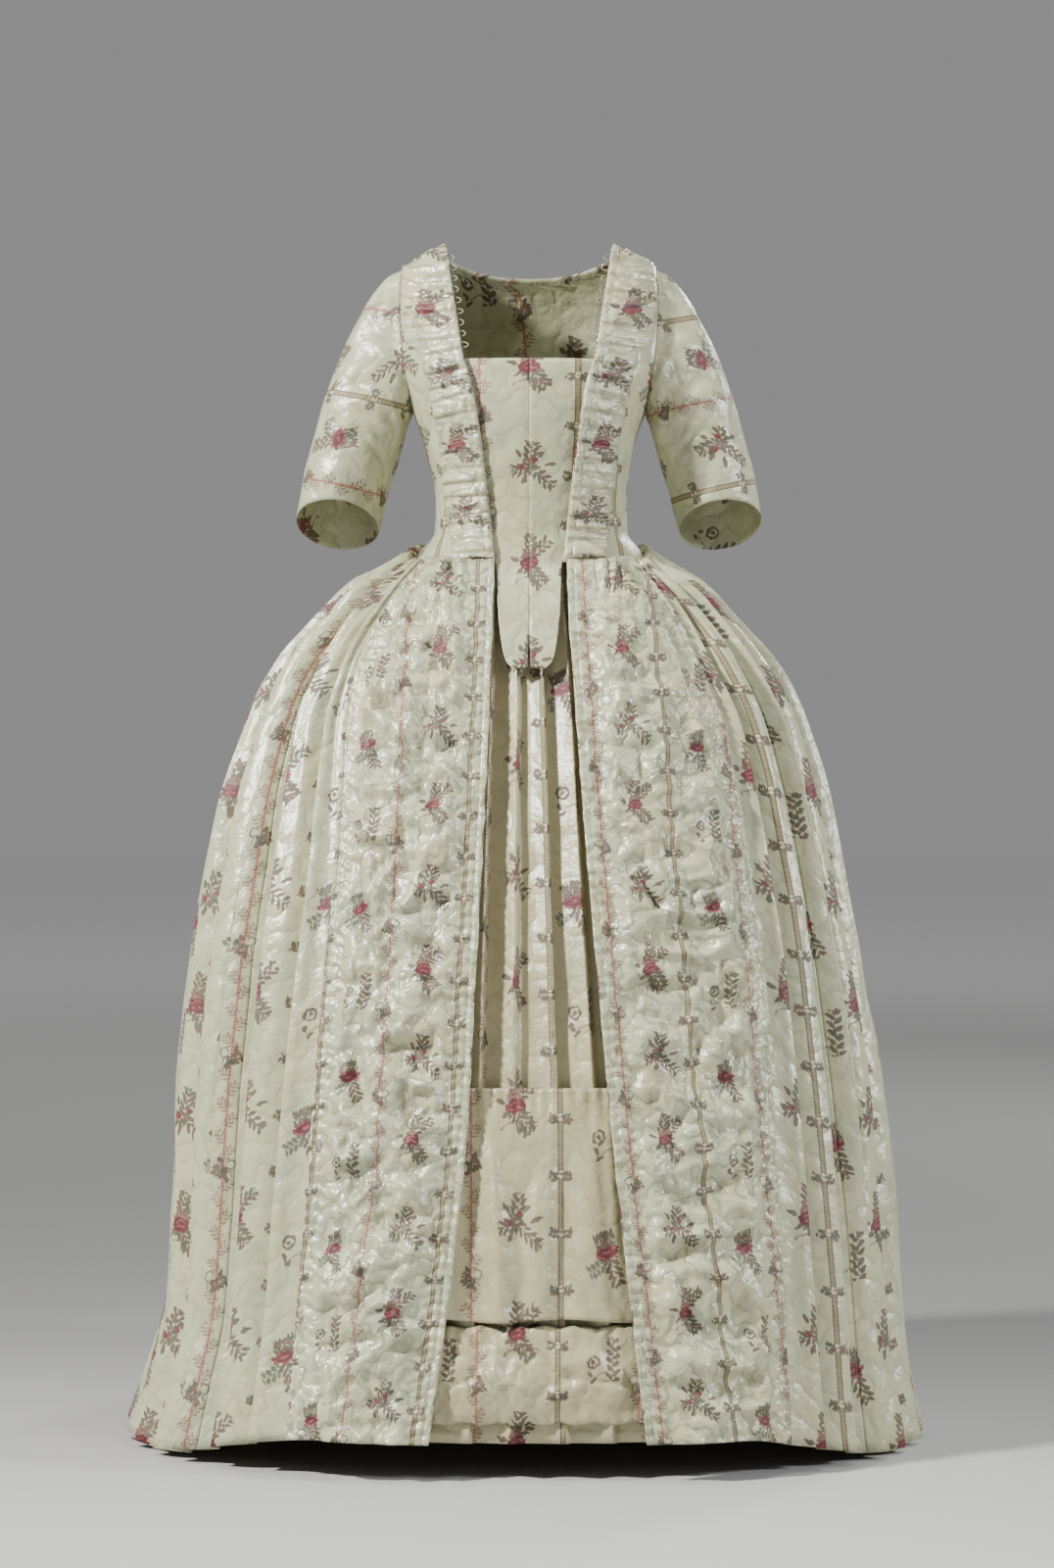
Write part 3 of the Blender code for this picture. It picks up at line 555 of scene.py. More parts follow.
TRIM_CREASES = {
    # (share of the width, metres down) of each point, width, height
    "right": (
        (((0.15, 0.05), (0.45, 0.09), (0.62, 0.06)), 0.006, 0.0040),
        (((0.30, 0.17), (0.55, 0.21), (0.85, 0.18)), 0.007, 0.0040),
        (((0.12, 0.29), (0.35, 0.33), (0.50, 0.42)), 0.006, -0.0030),
        (((0.55, 0.36), (0.70, 0.44), (0.62, 0.53)), 0.007, 0.0045),
        (((0.20, 0.52), (0.44, 0.56), (0.72, 0.62)), 0.006, 0.0040),
        (((0.80, 0.58), (0.66, 0.68), (0.74, 0.77)), 0.006, -0.0030),
        (((0.18, 0.70), (0.40, 0.76), (0.52, 0.84)), 0.007, 0.0045),
        (((0.30, 0.88), (0.60, 0.86), (0.84, 0.91)), 0.006, 0.0038),
    ),
    "left": (
        (((0.20, 0.08), (0.50, 0.05), (0.78, 0.09)), 0.007, 0.0035),
        (((0.65, 0.16), (0.52, 0.24), (0.60, 0.33)), 0.008, 0.0036),
        (((0.15, 0.30), (0.40, 0.36), (0.46, 0.45)), 0.007, 0.0036),
        (((0.50, 0.50), (0.74, 0.55), (0.84, 0.63)), 0.007, -0.0028),
        (((0.22, 0.60), (0.45, 0.64), (0.66, 0.72)), 0.008, 0.0036),
        (((0.30, 0.80), (0.55, 0.84), (0.80, 0.82)), 0.008, 0.0034),
    ),
}


def tucks(down, pitch, seed):
    """Small uneven cross tucks: a sharp lower lip and a slow slope, 0 to 1."""
    draw = np.random.default_rng(seed)
    edges = np.cumsum(pitch * draw.uniform(0.72, 1.28, int(1.4 * float(down.max()) / pitch) + 8))
    number = np.clip(np.searchsorted(edges, down), 1, len(edges) - 1)
    part = np.clip((down - edges[number - 1]) / (edges[number] - edges[number - 1]), 0, 1)
    depth_of = draw.uniform(0.45, 1.0, len(edges))[number]
    return depth_of * ease(part / 0.74) * (1 - ease((part - 0.80) / 0.20))


def trim_sheet(side, silk):
    """The ruched band on one skirt front."""
    place = np.linspace(-1, 0, TRIM_COLUMNS)[None, :] + np.zeros((TRIM_ROWS, 1))
    down = np.linspace(TRIM_START, 1.0, TRIM_ROWS)[:, None] + 0 * place
    base = skirt_base(place, down, side)
    across, drop = along(base, 1), along(base, 0)
    width = across[:, -1:]
    share = across / width
    inside = ease(across / TRIM_HEADING["inner"] - 0.85)
    inside = inside * ease((width - across) / TRIM_HEADING["outer"] - 0.85)
    seed = 5 if side == "left" else 8
    big = facets(across, drop, BIG_FACET, seed, 1.25)
    turned = (0.8 * across + 0.6 * drop, 0.8 * drop - 0.6 * across)
    small = facets(*turned, SMALL_FACET, seed + 60, 1.4)
    lumps = puffs(across, drop, PUFF_SIZE, seed=seed + 20, reach=1.5)
    faces = BIG_RISE * big + SMALL_RISE * small + PUFF_RISE * lumps
    crushed = CRUSH_MIDDLE + faces * CRUSH_STRENGTH[side]
    gathered = np.exp(-drop / WAIST_REACH)
    strayed = across + 0.004 * ripple(across, drop, 0.09, seed + 80)
    waves = np.abs(np.sin(math.pi * strayed / WAIST_PITCH))
    crushed = crushed * (1 - 0.85 * gathered) + WAIST_RISE * gathered * waves * (0.8 + 0.2 * big)
    for path, wide, height in TRIM_CREASES[side]:
        placed = [(x * float(width.mean()), y) for x, y in path]
        crushed = crushed + ridge(across, drop, placed, wide, height)
    slanted = drop + 0.003 * np.sin(across / 0.006)
    heading = HEADING_RISE + HEADING_TUCK * tucks(slanted, TUCK_PITCH, seed=31)
    stitched = 1 - 0.75 * np.exp(-(((across - 0.007) / 0.0016) ** 2))
    stitched = stitched * (1 - 0.75 * np.exp(-(((width - across - 0.006) / 0.0016) ** 2)))
    opening = ease((drop - 0.001) / 0.010)
    stands = (np.maximum(crushed, 0.0004) * inside + heading * (1 - inside) * stitched) * opening
    stands = LAYER + 0.0006 + stands
    grid = moved_out(base, stands)
    wobble = 0.0012 * np.sin(drop / 0.011 + 2 * np.sin(drop / 0.05)) * (share < 0.001)
    grid[..., 0] += SIDES[side] * wobble
    first_across, first_down = TRIM_PHASE[side]
    cloth_across = first_across + SIDES[side] * across / TRIM_TAKE_UP[0]
    cloth = np.stack([cloth_across, (drop - drop[-1:]) / TRIM_TAKE_UP[1] + first_down], axis=-1)
    pulled = [ripple(across, drop, 0.03, seed=number) for number in (3, 4)]
    cloth = cloth + 0.0012 * np.stack(pulled, axis=-1)
    piece = sheet_of_silk(f"skirt_trim_{side}", grid, cloth, silk)

# %% [markdown]
# ## The sack back
#
# Two wide box pleats are stitched down at the back neckline and fall free from there to the floor.
# Their edges stay crisp at the top and soften lower down. They are drawn as one profile across,
# with flat tops and narrow sunken steps, and long soft folds are added below the waist.

# %% The sack back
BOX_FOLDS = Table(
    "across  stands",
    (0.000, -0.8),
    (0.070, -0.8),
    (0.110, 1.0),
    (0.480, 1.0),
    (0.520, -0.6),
    (0.570, -0.6),
    (0.610, 0.9),
    (0.780, 1.0),
    (0.930, 0.35),
    (1.000, 0.0),
)
SACK_CLEAR = LAYER + 0.004  # from the fitted back to the sack's edge
SACK_EDGE = 0.012  # grid columns this close to each fold, as a share of the half width
SACK_WIDTH = 0.16  # metres of the half width at mid back, to measure the creases evenly
SACK_PHASE = 0.168  # pattern across at the centre back
SACK_RUN = np.concatenate([np.linspace(-0.030, -0.30, 30), np.linspace(-0.31, FLOOR, 92)])
SACK_CREASES = (
    # (share of the half width, height) of each point, width, height
    (((0.30, -0.35), (0.26, -0.62), (0.30, -0.95)), 0.012, -0.0040),
    (((0.72, -0.45), (0.78, -0.72), (0.74, -1.10)), 0.014, 0.0045),
    (((0.22, -0.85), (0.30, -1.10), (0.24, -1.36)), 0.018, 0.0060),
    (((0.88, -0.70), (0.84, -1.00), (0.90, -1.35)), 0.016, -0.0045),
    (((0.40, -0.12), (0.28, -0.22), (0.34, -0.34)), 0.010, 0.0020),
)


def sack_sheet(side, silk):
    """Half of the sack: two box pleats from the back neckline to the floor."""
    folds = BOX_FOLDS.rows["across"]
    near_folds = [folds[1:-1] - SACK_EDGE, folds[1:-1] + SACK_EDGE]
    share = np.unique(np.concatenate([np.linspace(0, 1, 66), folds, *near_folds]))[None, :]
    z = SACK_RUN[:, None] + 0 * share
    z[0] += 0.006 * share[0] ** 2 - 0.002
    half = SACK.at("half", z)
    clear = np.where(z > SIDE_SEAM, 1.0, ease((z + 0.47) / 0.118))
    edge = depth(half, z, side, "back") + SACK_CLEAR * clear
    middle = np.maximum(SACK.at("depth", z), depth(0 * z, z, side, "back") + SACK_CLEAR)
    y = middle - (middle - edge) * share**2.2
    on_back = depth(half * share, z, side, "back") + LAYER + 0.003 + 0.006 * ease((z + 0.30) / 0.10)
    profile = np.interp(share, folds, BOX_FOLDS.rows["stands"])
    soften = np.clip((-z - 0.5) / 0.9, 0, 1)
    rounded = profile * (1 - 0.35 * soften) + 0.35 * soften * np.sin(share * 6 * math.pi) * (1 - share)
    y = np.maximum(y + SACK.at("relief", z) * rounded, np.where(z > SIDE_SEAM - 0.05, on_back, 0))
    for path, width, height in SACK_CREASES:
        placed = [(x * SACK_WIDTH + (0.01 if side == "left" else 0.0), drop) for x, drop in path]
        y = y + ridge(share * SACK_WIDTH, z, placed, width, height) * (1 - share**6)
    y = y + 0.0008 * ripple(share * 0.2, z * 0.4, 0.10, seed=41) * (1 - share**6)
    y[:, -1] = edge[:, -1]
    x = half * share
    x[:, 0] = SEAM / 2
    grid = np.stack([SIDES[side] * x, y, z], axis=-1)
    down = along(grid, 0)
    walked = along(grid, 1)
    cloth = np.stack([-SIDES[side] * walked + SACK_PHASE, down - down[-1:]], axis=-1)
    piece = sheet_of_silk(f"sack_back_{side}", grid, cloth, silk)


# %% [markdown]
# ## The petticoat
#
# The front width of the petticoat hangs in knife pleats that open towards the hem. Only its middle
# shows between the skirt fronts. A gathered flounce crosses it at the knee and a puffed band lies above
# its hem. Each pleat is again a ridge with a narrow fold behind it.

# %% The petticoat widths
PETTICOAT_PLEATS = Table(
    "waist   hem     stands",
    (-0.100, -0.230, 0.0040),
    (-0.068, -0.135, 0.0045),
    (-0.040, -0.068, 0.0050),
    (-0.012, -0.020, 0.0040),
    (0.012, 0.040, 0.0050),
    (0.040, 0.095, 0.0045),
    (0.068, 0.150, 0.0040),
    (0.100, 0.235, 0.0040),
)
PETTICOAT_PRESSED = 1.5  # the silk's pleats stand this much prouder than the solid's
PETTICOAT_TOP, PETTICOAT_HEM = -0.366, -1.335
INSET = Table(
    "height  inset",
    (-0.366, 0.014),
    (-0.420, 0.018),
    (-0.500, 0.018),
    (-0.900, 0.020),
    (-1.371, 0.022),
)
KNIFE_FOLD = 0.17  # the hidden side of a knife pleat, as a share of the way to the next
PETTICOAT_PHASE = (0.185, 0.0)  # pattern across at the middle of the hem, and down at the hem


def petticoat_point(x_share, z, facing, out=0.0):
    """A point of the petticoat, inside the gown by its inset. x_share runs -1 to 1 over the width."""
    side = np.where(x_share >= 0, FIGURE.at("left", z), FIGURE.at("right", z))
    inset = INSET.at("inset", z)
    angle = np.abs(x_share) * math.pi / 2
    reach = (FIGURE.at(facing, z) - inset) * (0.80 if facing == "back" else 1.0)
    x = np.sign(x_share) * (side - inset + out) * np.sin(angle) ** (2 / ROUNDNESS)
    y = (reach + out) * np.cos(angle) ** (2 / ROUNDNESS)
    return np.stack([x, -y if facing == "front" else y, z + 0 * x], axis=-1)


def share_at(x, z):
    """The petticoat share at which its front is this far from the centre."""
    half = (FIGURE.at("left", z) + FIGURE.at("right", z)) / 2
    return np.sign(x) * np.arcsin(np.clip(np.abs(x) / half, 0, 0.995) ** (ROUNDNESS / 2)) / (math.pi / 2)


def petticoat_front_sheet(silk):
    """The knife-pleated front width."""
    rows = 84
    down = np.linspace(0, 1, rows)[:, None]
    z = PETTICOAT_TOP + (PETTICOAT_HEM - PETTICOAT_TOP) * down
    count = len(PETTICOAT_PLEATS.rows["waist"])
    left_edge, right_edge = np.linspace(-1, 0, 14)[:-1], np.linspace(count - 1, count, 14)[1:]
    pleat = np.concatenate([left_edge, np.linspace(0, count - 1, 168), right_edge])
    places = zip(PETTICOAT_PLEATS.rows["waist"], PETTICOAT_PLEATS.rows["hem"])
    ridges = [share_at(waist + (low - waist) * down, z) for waist, low in places]
    knots = np.concatenate([0 * z - 1.0, *ridges, 0 * z + 1.0], axis=1)
    share = np.stack([np.interp(pleat, np.arange(-1, count + 1), row) for row in knots])
    number = np.clip(np.floor(pleat).astype(int), 0, count - 1)
    part = pleat - number
    stands = PETTICOAT_PLEATS.rows["stands"]
    fall = 1 - 2 * ease(part / KNIFE_FOLD)
    climb = 2 * np.clip((part - KNIFE_FOLD) / (1 - KNIFE_FOLD), 0, 1) ** 1.4
    profile = np.where(number == count - 1, 1 - ease(part * 2), fall + climb)
    profile = np.where(pleat < 0, ease(1 + pleat * 2), profile)
    size = np.where(pleat < 0, stands[0], PETTICOAT_PRESSED * stands[number])
    relief = (size * profile)[None, :] * ease(0.55 + 1.6 * down)
    base = petticoat_point(share, z, "front")
    base[:, [0, -1], 1] -= SEAM
    rumple = 0.0008 * ripple(base[..., 0], base[..., 2] * 0.3, 0.07, seed=2)
    rumple = rumple + 0.0014 * facets(base[..., 0], base[..., 2] * 0.4, 0.035, seed=4)
    grid = moved_out(base, relief + rumple * (1 - np.abs(share) ** 6))
    walked = along(grid, 1)
    middle = np.stack([np.interp(0.0, row_share, row_walk) for row_share, row_walk in zip(share, walked)])
    hem_walk = walked[-1] - middle[-1]
    on_ridge = np.interp(np.arange(0, count + 1), pleat, hem_walk)
    ahead = np.clip(np.floor(pleat).astype(int) + 1, 0, count)
    across = np.zeros(share.shape)
    for row in range(rows):
        here = walked[row] - middle[row]
        ridge_here = np.interp(np.arange(0, count + 1), pleat, here)
        flat = on_ridge[ahead] - (ridge_here[ahead] - here)
        fold_end = np.interp(ahead - 1 + KNIFE_FOLD, pleat, here)
        flat_end = on_ridge[ahead] - (ridge_here[ahead] - fold_end)
        behind = on_ridge[np.maximum(ahead - 1, 0)]
        hidden = behind + (flat_end - behind) * np.clip(part / KNIFE_FOLD, 0, 1)
        across[row] = np.where((part < KNIFE_FOLD) & (part >= 0) & (ahead > 0), hidden, flat)
    drop = along(grid, 0)
    cloth = np.stack([across + PETTICOAT_PHASE[0], drop - drop[-1:] + PETTICOAT_PHASE[1]], axis=-1)
    piece = sheet_of_silk("petticoat_front", grid, cloth, silk)


def petticoat_back_sheet(silk):
    """The plain back width, hidden under the gown, with shallow pleats."""
    z = np.linspace(PETTICOAT_TOP, PETTICOAT_HEM, 40)[:, None]
    share = np.linspace(-1, 1, 72)[None, :]
    base = petticoat_point(share, z, "back")
    base[:, [0, -1], 1] += SEAM
    fade = (1 - np.abs(share) ** 6) * ease((PETTICOAT_TOP - z) / 0.2)
    grid = moved_out(base, 0.0030 * np.sin(share * 26 + 0.8 * np.sin(z * 5)) * fade)
    drop = along(grid, 0)
    cloth = np.stack([along(grid, 1), drop - drop[-1:]], axis=-1)
    piece = sheet_of_silk("petticoat_back", grid, cloth, silk)


# %% [markdown]
# ## The flounce and the puffed band
#
# The flounce is a strip gathered along its top edge by a running stitch, so small sharp gathers
# leave the stitches and fade into a few broad waves at its hem. The band below it is drawn up in a
# zigzag, which makes scalloped puffs on both edges. Both are waves whose height changes down the strip.

# %% The applied strips of the petticoat
FLOUNCE_TOP, FLOUNCE_HEM = -0.957, -1.205
PUFF_TOP, PUFF_HEM = -1.213, -1.311
TRIM_REACH = 0.20
FLOUNCE_PHASE = (0.185, 0.0)
PUFF_PHASE = (0.185, 0.03)
STRIP_OUT = 0.0080  # from the petticoat's smooth form to the strips
FLOUNCE_FOLDS = (
    # place across at the top and at the hem, height
    (-0.11, -0.095, 0.004),
    (-0.045, -0.03, 0.003),
    (0.028, 0.020, 0.004),
    (0.085, 0.10, 0.003),
)


def strip_base(top, bottom, rows, columns):
    """The plain strip across the petticoat front."""
    z = np.linspace(top, bottom, rows)[:, None]
    x = np.linspace(-TRIM_REACH, TRIM_REACH, columns)[None, :]
    return petticoat_point(share_at(x, z), z, "front", out=STRIP_OUT), x, z


def flounce_sheet(silk):
    """The gathered flounce at the knee."""
    base, x, z = strip_base(FLOUNCE_TOP, FLOUNCE_HEM, 54, 190)
    drop = (FLOUNCE_TOP - z) / (FLOUNCE_TOP - FLOUNCE_HEM)
    gathers = np.sin(x / 0.0022 + 1.6 * np.sin(x / 0.017)) * np.exp(-drop * 9)
    waves = np.sin(x / 0.0105 + 1.2 * np.sin(x / 0.045) + drop * np.sin(x / 0.03)) * ease(drop * 1.6)
    crisp = facets(x + 0 * z, 0.45 * z + 0 * x, 0.030, seed=91, reach=1.0)
    stands = 0.0012 * gathers + 0.0036 * (1 + waves) * ease(drop * 2) + 0.0018 * drop
    stands = stands + 0.0022 * (1 + crisp) * ease(drop * 5)
    for above, below, height in FLOUNCE_FOLDS:
        path = [(above, -FLOUNCE_TOP), (below, -FLOUNCE_HEM)]
        stands = stands + ridge(x, -z, path, 0.007, height) * ease(drop * 3)
    grid = moved_out(base, stands)
    grid[..., 2] += 0.0022 * np.sin(x / 0.023) * ease(drop * 4 - 3)
    cloth = np.stack([x * 1.12 + FLOUNCE_PHASE[0] + 0 * z, z * -1.02 + FLOUNCE_PHASE[1] + 0 * x], axis=-1)
    piece = sheet_of_silk("petticoat_flounce", grid, cloth, silk)


def puff_sheet(silk):
    """The puffed band above the petticoat's hem."""
    base, x, z = strip_base(PUFF_TOP, PUFF_HEM, 40, 200)
    drop = (PUFF_TOP - z) / (PUFF_TOP - PUFF_HEM)
    swell = np.sin(math.pi * np.clip(drop, 0, 1)) ** 0.6
    lumps = puffs(x + 0 * z, z + 0 * x, 0.036, seed=12, reach=1.2)
    small = puffs(x + 0 * z, z + 0 * x, 0.014, seed=14)
    edges = np.sin(x / 0.0024 + np.sin(x / 0.02)) * (1 - swell) ** 2
    crisp = facets(x + 0 * z, z + 0 * x, 0.030, seed=93, reach=0.8)
    stands = swell * (0.0062 + 0.0034 * lumps + 0.0012 * small + 0.0046 * crisp) + 0.0010 * edges + 0.0008
    grid = moved_out(base, np.maximum(stands, 0.0002))
    scallop = 0.0035 * np.abs(np.sin(x / 0.0125 + 0.5 * np.sin(x / 0.04)))
    grid[..., 2] += scallop * (ease(1 - drop * 4) - ease(drop * 4 - 3))
    cloth = np.stack([x * 1.25 + PUFF_PHASE[0] + 0 * z, z * -1.2 + PUFF_PHASE[1] + 0 * x], axis=-1)
    piece = sheet_of_silk("petticoat_puff", grid, cloth, silk)


# %% [markdown]
# ## The bodice
#
# The fronts are cut close and laced over stays, so they are nearly smooth: only short drag lines run
# from the armhole and the waist. The closed front is two smooth halves that meet at a centre seam and
# end in a tab over the petticoat. It is tight over the stays, so its creases are faint.

# %% Bodice fronts, back and the closed front
ARMHOLE = Table(
    "height  out",
    (-0.026, 0.147),
    (-0.060, 0.149),
    (-0.100, 0.148),
    (-0.140, 0.144),
    (-0.170, 0.139),
    (-0.191, 0.136),
)
ROBING = Table(
    "height  inner   outer",
    (0.000, 0.0965, 0.1445),
    (-0.060, 0.0870, 0.1450),
    (-0.118, 0.0780, 0.1390),
    (-0.132, 0.0760, 0.1230),
    (-0.165, 0.0660, 0.1140),
    (-0.226, 0.0555, 0.1010),
    (-0.300, 0.0465, 0.0920),
    (-0.372, 0.0390, 0.0860),
)
STOMACHER = Table(
    "height  half",
    (-0.141, 0.0860),
    (-0.226, 0.0660),
    (-0.300, 0.0570),
    (-0.355, 0.0500),
    (-0.376, 0.0375),
    (-0.430, 0.0350),
    (-0.470, 0.0305),
    (-0.488, 0.0260),
    (-0.496, 0.0190),
)
TAB_END = -0.496
BODICE_CREASES = (
    # (metres from the inner edge, height) of each point, width, height
    (((0.075, -0.205), (0.060, -0.235), (0.052, -0.270)), 0.006, -0.0012),
    (((0.080, -0.230), (0.066, -0.270), (0.060, -0.310)), 0.006, 0.0012),
    (((0.070, -0.300), (0.050, -0.325), (0.038, -0.345)), 0.005, -0.0012),
    (((0.085, -0.320), (0.068, -0.335), (0.050, -0.350)), 0.005, 0.0010),
)


def side_angle(z, side, facing):
    """The angle where a bodice panel ends at the side: the side seam, or the armhole above it."""
    seam = math.pi / 2 - (SEAM / 2 / FIGURE.at(facing, z)) ** (ROUNDNESS / 2)
    return np.where(z > ARMPIT, np.minimum(angle_at(ARMHOLE.at("out", z), z, side), seam), seam)


def bodice_rows(count):
    """Shares of the way up the bodice, closer together at the shoulder."""
    t = np.linspace(0, 1, count)
    return (t + 0.25 * np.sin(math.pi * t) / math.pi)[:, None]


def bodice_front_sheet(side, silk):
    """One bodice front, from the robing's edge to the side seam, waist seam to shoulder seam."""
    share = np.linspace(0, 1, 40)[None, :]
    rows = bodice_rows(72)
    bottom = waist_seam(share * math.pi / 2) - SKIRT_LAP
    z = bottom * (1 - rows) - rows * shoulder_drop(STRAP_INNER + share * (STRAP_OUTER - STRAP_INNER))
    inner = angle_at(ROBING.at("inner", z), z, side)
    angle = inner + (side_angle(z, side, "front") - inner) * share
    grid = on_figure(angle, z, side)
    grid[-1, :, 1] -= SEAM / 2
    walked = along(grid, 1)
    stands = 0 * z
    for path, width, height in BODICE_CREASES:
        stands = stands + ridge(walked, z, path, width, height)
    stands = stands + 0.0016 * facets(walked, z, 0.030, seed=33, reach=1.4)
    fade = ease(share * 12) * ease((1 - share) * 12) * ease(rows * 20) * ease((1 - rows) * 12)
    grid = moved_out(grid, stands * fade)
    across = SIDES[side] * (walked + ROBING.at("inner", z)) + 0.112
    cloth = np.stack([across, -z], axis=-1)
    piece = sheet_of_silk(f"bodice_front_{side}", grid, cloth, silk)


def bodice_back_sheet(silk):
    """The fitted back in one piece, from side seam to side seam, under the sack."""
    halves = []
    rows = bodice_rows(64)
    for side in ("right", "left"):
        share = np.linspace(0, 1, 34)[None, :]
        top_x = share * STRAP_OUTER
        neck = NECK_BACK * np.clip(1 - (top_x / STRAP_INNER) ** 2, 0, 1) - shoulder_drop(top_x)
        z = (SIDE_SEAM + WALL / 2) * (1 - rows) + rows * neck
        angle = math.pi - side_angle(z, side, "back") * share
        grid = on_figure(angle, z, side)
        grid[-1, top_x[0] > STRAP_INNER, 1] += SEAM / 2
        halves.append(grid)
    grid = np.concatenate([halves[0][:, :0:-1], halves[1]], axis=1)
    cloth = np.stack([along(grid, 1) - 0.05, -grid[..., 2]], axis=-1)
    piece = sheet_of_silk("bodice_back", grid, cloth, silk)


STOMACHER_SCALE = 1.11  # the silk is pulled a little short over the stays
STOMACHER_DROP = 0.375  # a rose sits this far below the shoulder
STOMACHER_MIDDLE = 0.168  # pattern across on the centre seam


def stomacher_sheet(side, silk):
    """One half of the closed front, from the centre seam to under the robing, and its tab."""
    upper = np.linspace(NECK_FRONT, FRONT_SEAM, 46)
    z = np.concatenate([upper, np.linspace(FRONT_SEAM - 0.004, TAB_END, 34)])[:, None]
    share = np.linspace(0, 1, 30)[None, :]
    slit = 0.0014 * ease((-0.455 - z) / 0.03)
    x = SEAM / 2 + slit + (STOMACHER.at("half", z) - SEAM / 2 - slit) * share
    grid = on_figure(angle_at(x, z + 0 * x, side), z + 0 * x, side)
    below = ease((FRONT_SEAM - 0.002 - z) / 0.03)
    seam_dip = 0.0012 * np.exp(-((x / 0.0022) ** 2)) * ease((z + 0.49) / 0.02)
    turned = -0.0008 * np.exp(-(((share - 1) * STOMACHER.at("half", z) / 0.004) ** 2)) * below
    rumple = 0.0006 * ripple(x * SIDES[side], z, 0.06, seed=7)
    rumple = rumple + 0.0007 * facets(x * SIDES[side], z + 0 * x, 0.03, seed=9)
    roll = 0.0010 * np.exp(-(((z - NECK_FRONT) / 0.004) ** 2))
    back = LAYER * (1 - below) - 0.0005 * below + seam_dip + turned + rumple + roll * (1 - share**4)
    grid = grid + np.stack([0 * x, back + 0 * x, 0 * x], axis=-1)
    pinch = 1 + 0.25 * ease((-0.18 - z) / 0.25)
    across = STOMACHER_MIDDLE + SIDES[side] * x * pinch
    cloth = np.stack([across, (-z - STOMACHER_DROP) * STOMACHER_SCALE + 0 * x], axis=-1)
    piece = sheet_of_silk(f"stomacher_{side}", grid, cloth, silk)


# %% [markdown]
# ## The robings
#
# A robing is a flat band from the shoulder to the waist seam that hides the bodice's opening edge. Here
# it is worked in cross tucks, uneven by hand, with one deep tuck where the neck turns. A line of
# stitches runs down beside the inner edge and pulls the tucks flat there.

# %% The tucked bands of the bodice
ROBING_ROWS = 250
ROBING_ROSE = 0.084  # a rose of the pattern lies this far below the shoulder
ROBING_TAKE_UP = 0.62  # the tucks take up the rest of the silk's length
DEEP_TUCK = 0.130  # metres below the shoulder


def robing_sheet(side, silk):
    """The tucked band along one bodice front."""
    rows = np.linspace(0, 1, ROBING_ROWS)[:, None]
    share = np.linspace(0, 1, 26)[None, :]
    top = -shoulder_drop(ROBING.at("inner", 0.0) + share * (STRAP_OUTER - STRAP_INNER))
    z = (top - WALL / 2) * (1 - rows) + (FRONT_SEAM + WALL) * rows
    inner, outer = ROBING.at("inner", z), ROBING.at("outer", z)
    base = on_figure(angle_at(inner + (outer - inner) * share, z, side), z, side)
    drop, across = along(base, 0), along(base, 1)
    width = across[:, -1:]
    level = 0.012 - z + 0.0035 * share * np.sin(drop / 0.04) - 0.004 * share
    folds = tucks(level, 0.0175, seed=61 if side == "left" else 67)
    fine = tucks(level + 0.004 * share, 0.0090, seed=71 if side == "left" else 73) * ease(share * 3 - 1.2)
    deep = np.exp(-(((level - DEEP_TUCK) / 0.0035) ** 2))
    stitched = 1 - 0.8 * np.exp(-(((across - 0.008) / 0.0020) ** 2))
    edge = ease(across / 0.003) * ease((width - across) / 0.004)
    lift = (0.0042 * folds + 0.0012 * fine) * stitched * (0.35 + 0.65 * edge) - 0.0020 * deep * edge
    lift = lift + 0.0007 * ripple(across, drop, 0.05, seed=77)
    grid = moved_out(base, LAYER + 0.0016 + np.maximum(lift, -0.0008))
    cloth_across = 0.168 + SIDES[side] * (across - width / 2)
    cloth = np.stack([cloth_across, (-z - ROBING_ROSE) / ROBING_TAKE_UP + 0.002 * folds], axis=-1)
    piece = sheet_of_silk(f"robing_{side}", grid, cloth, silk)


# %% [markdown]
# ## The thread loops of the neckline
#
# A row of small buttonholed loops stands along each neck edge, once used to lace in a kerchief. Each is
# a half ring of thread, swept as a thin tube along its own little arc.

# %% The thread loops
LOOP_PITCH, LOOP_REACH, LOOP_HALF, THREAD = 0.0135, 0.0066, 0.0034, 0.00055


THREAD_SIDES = 6


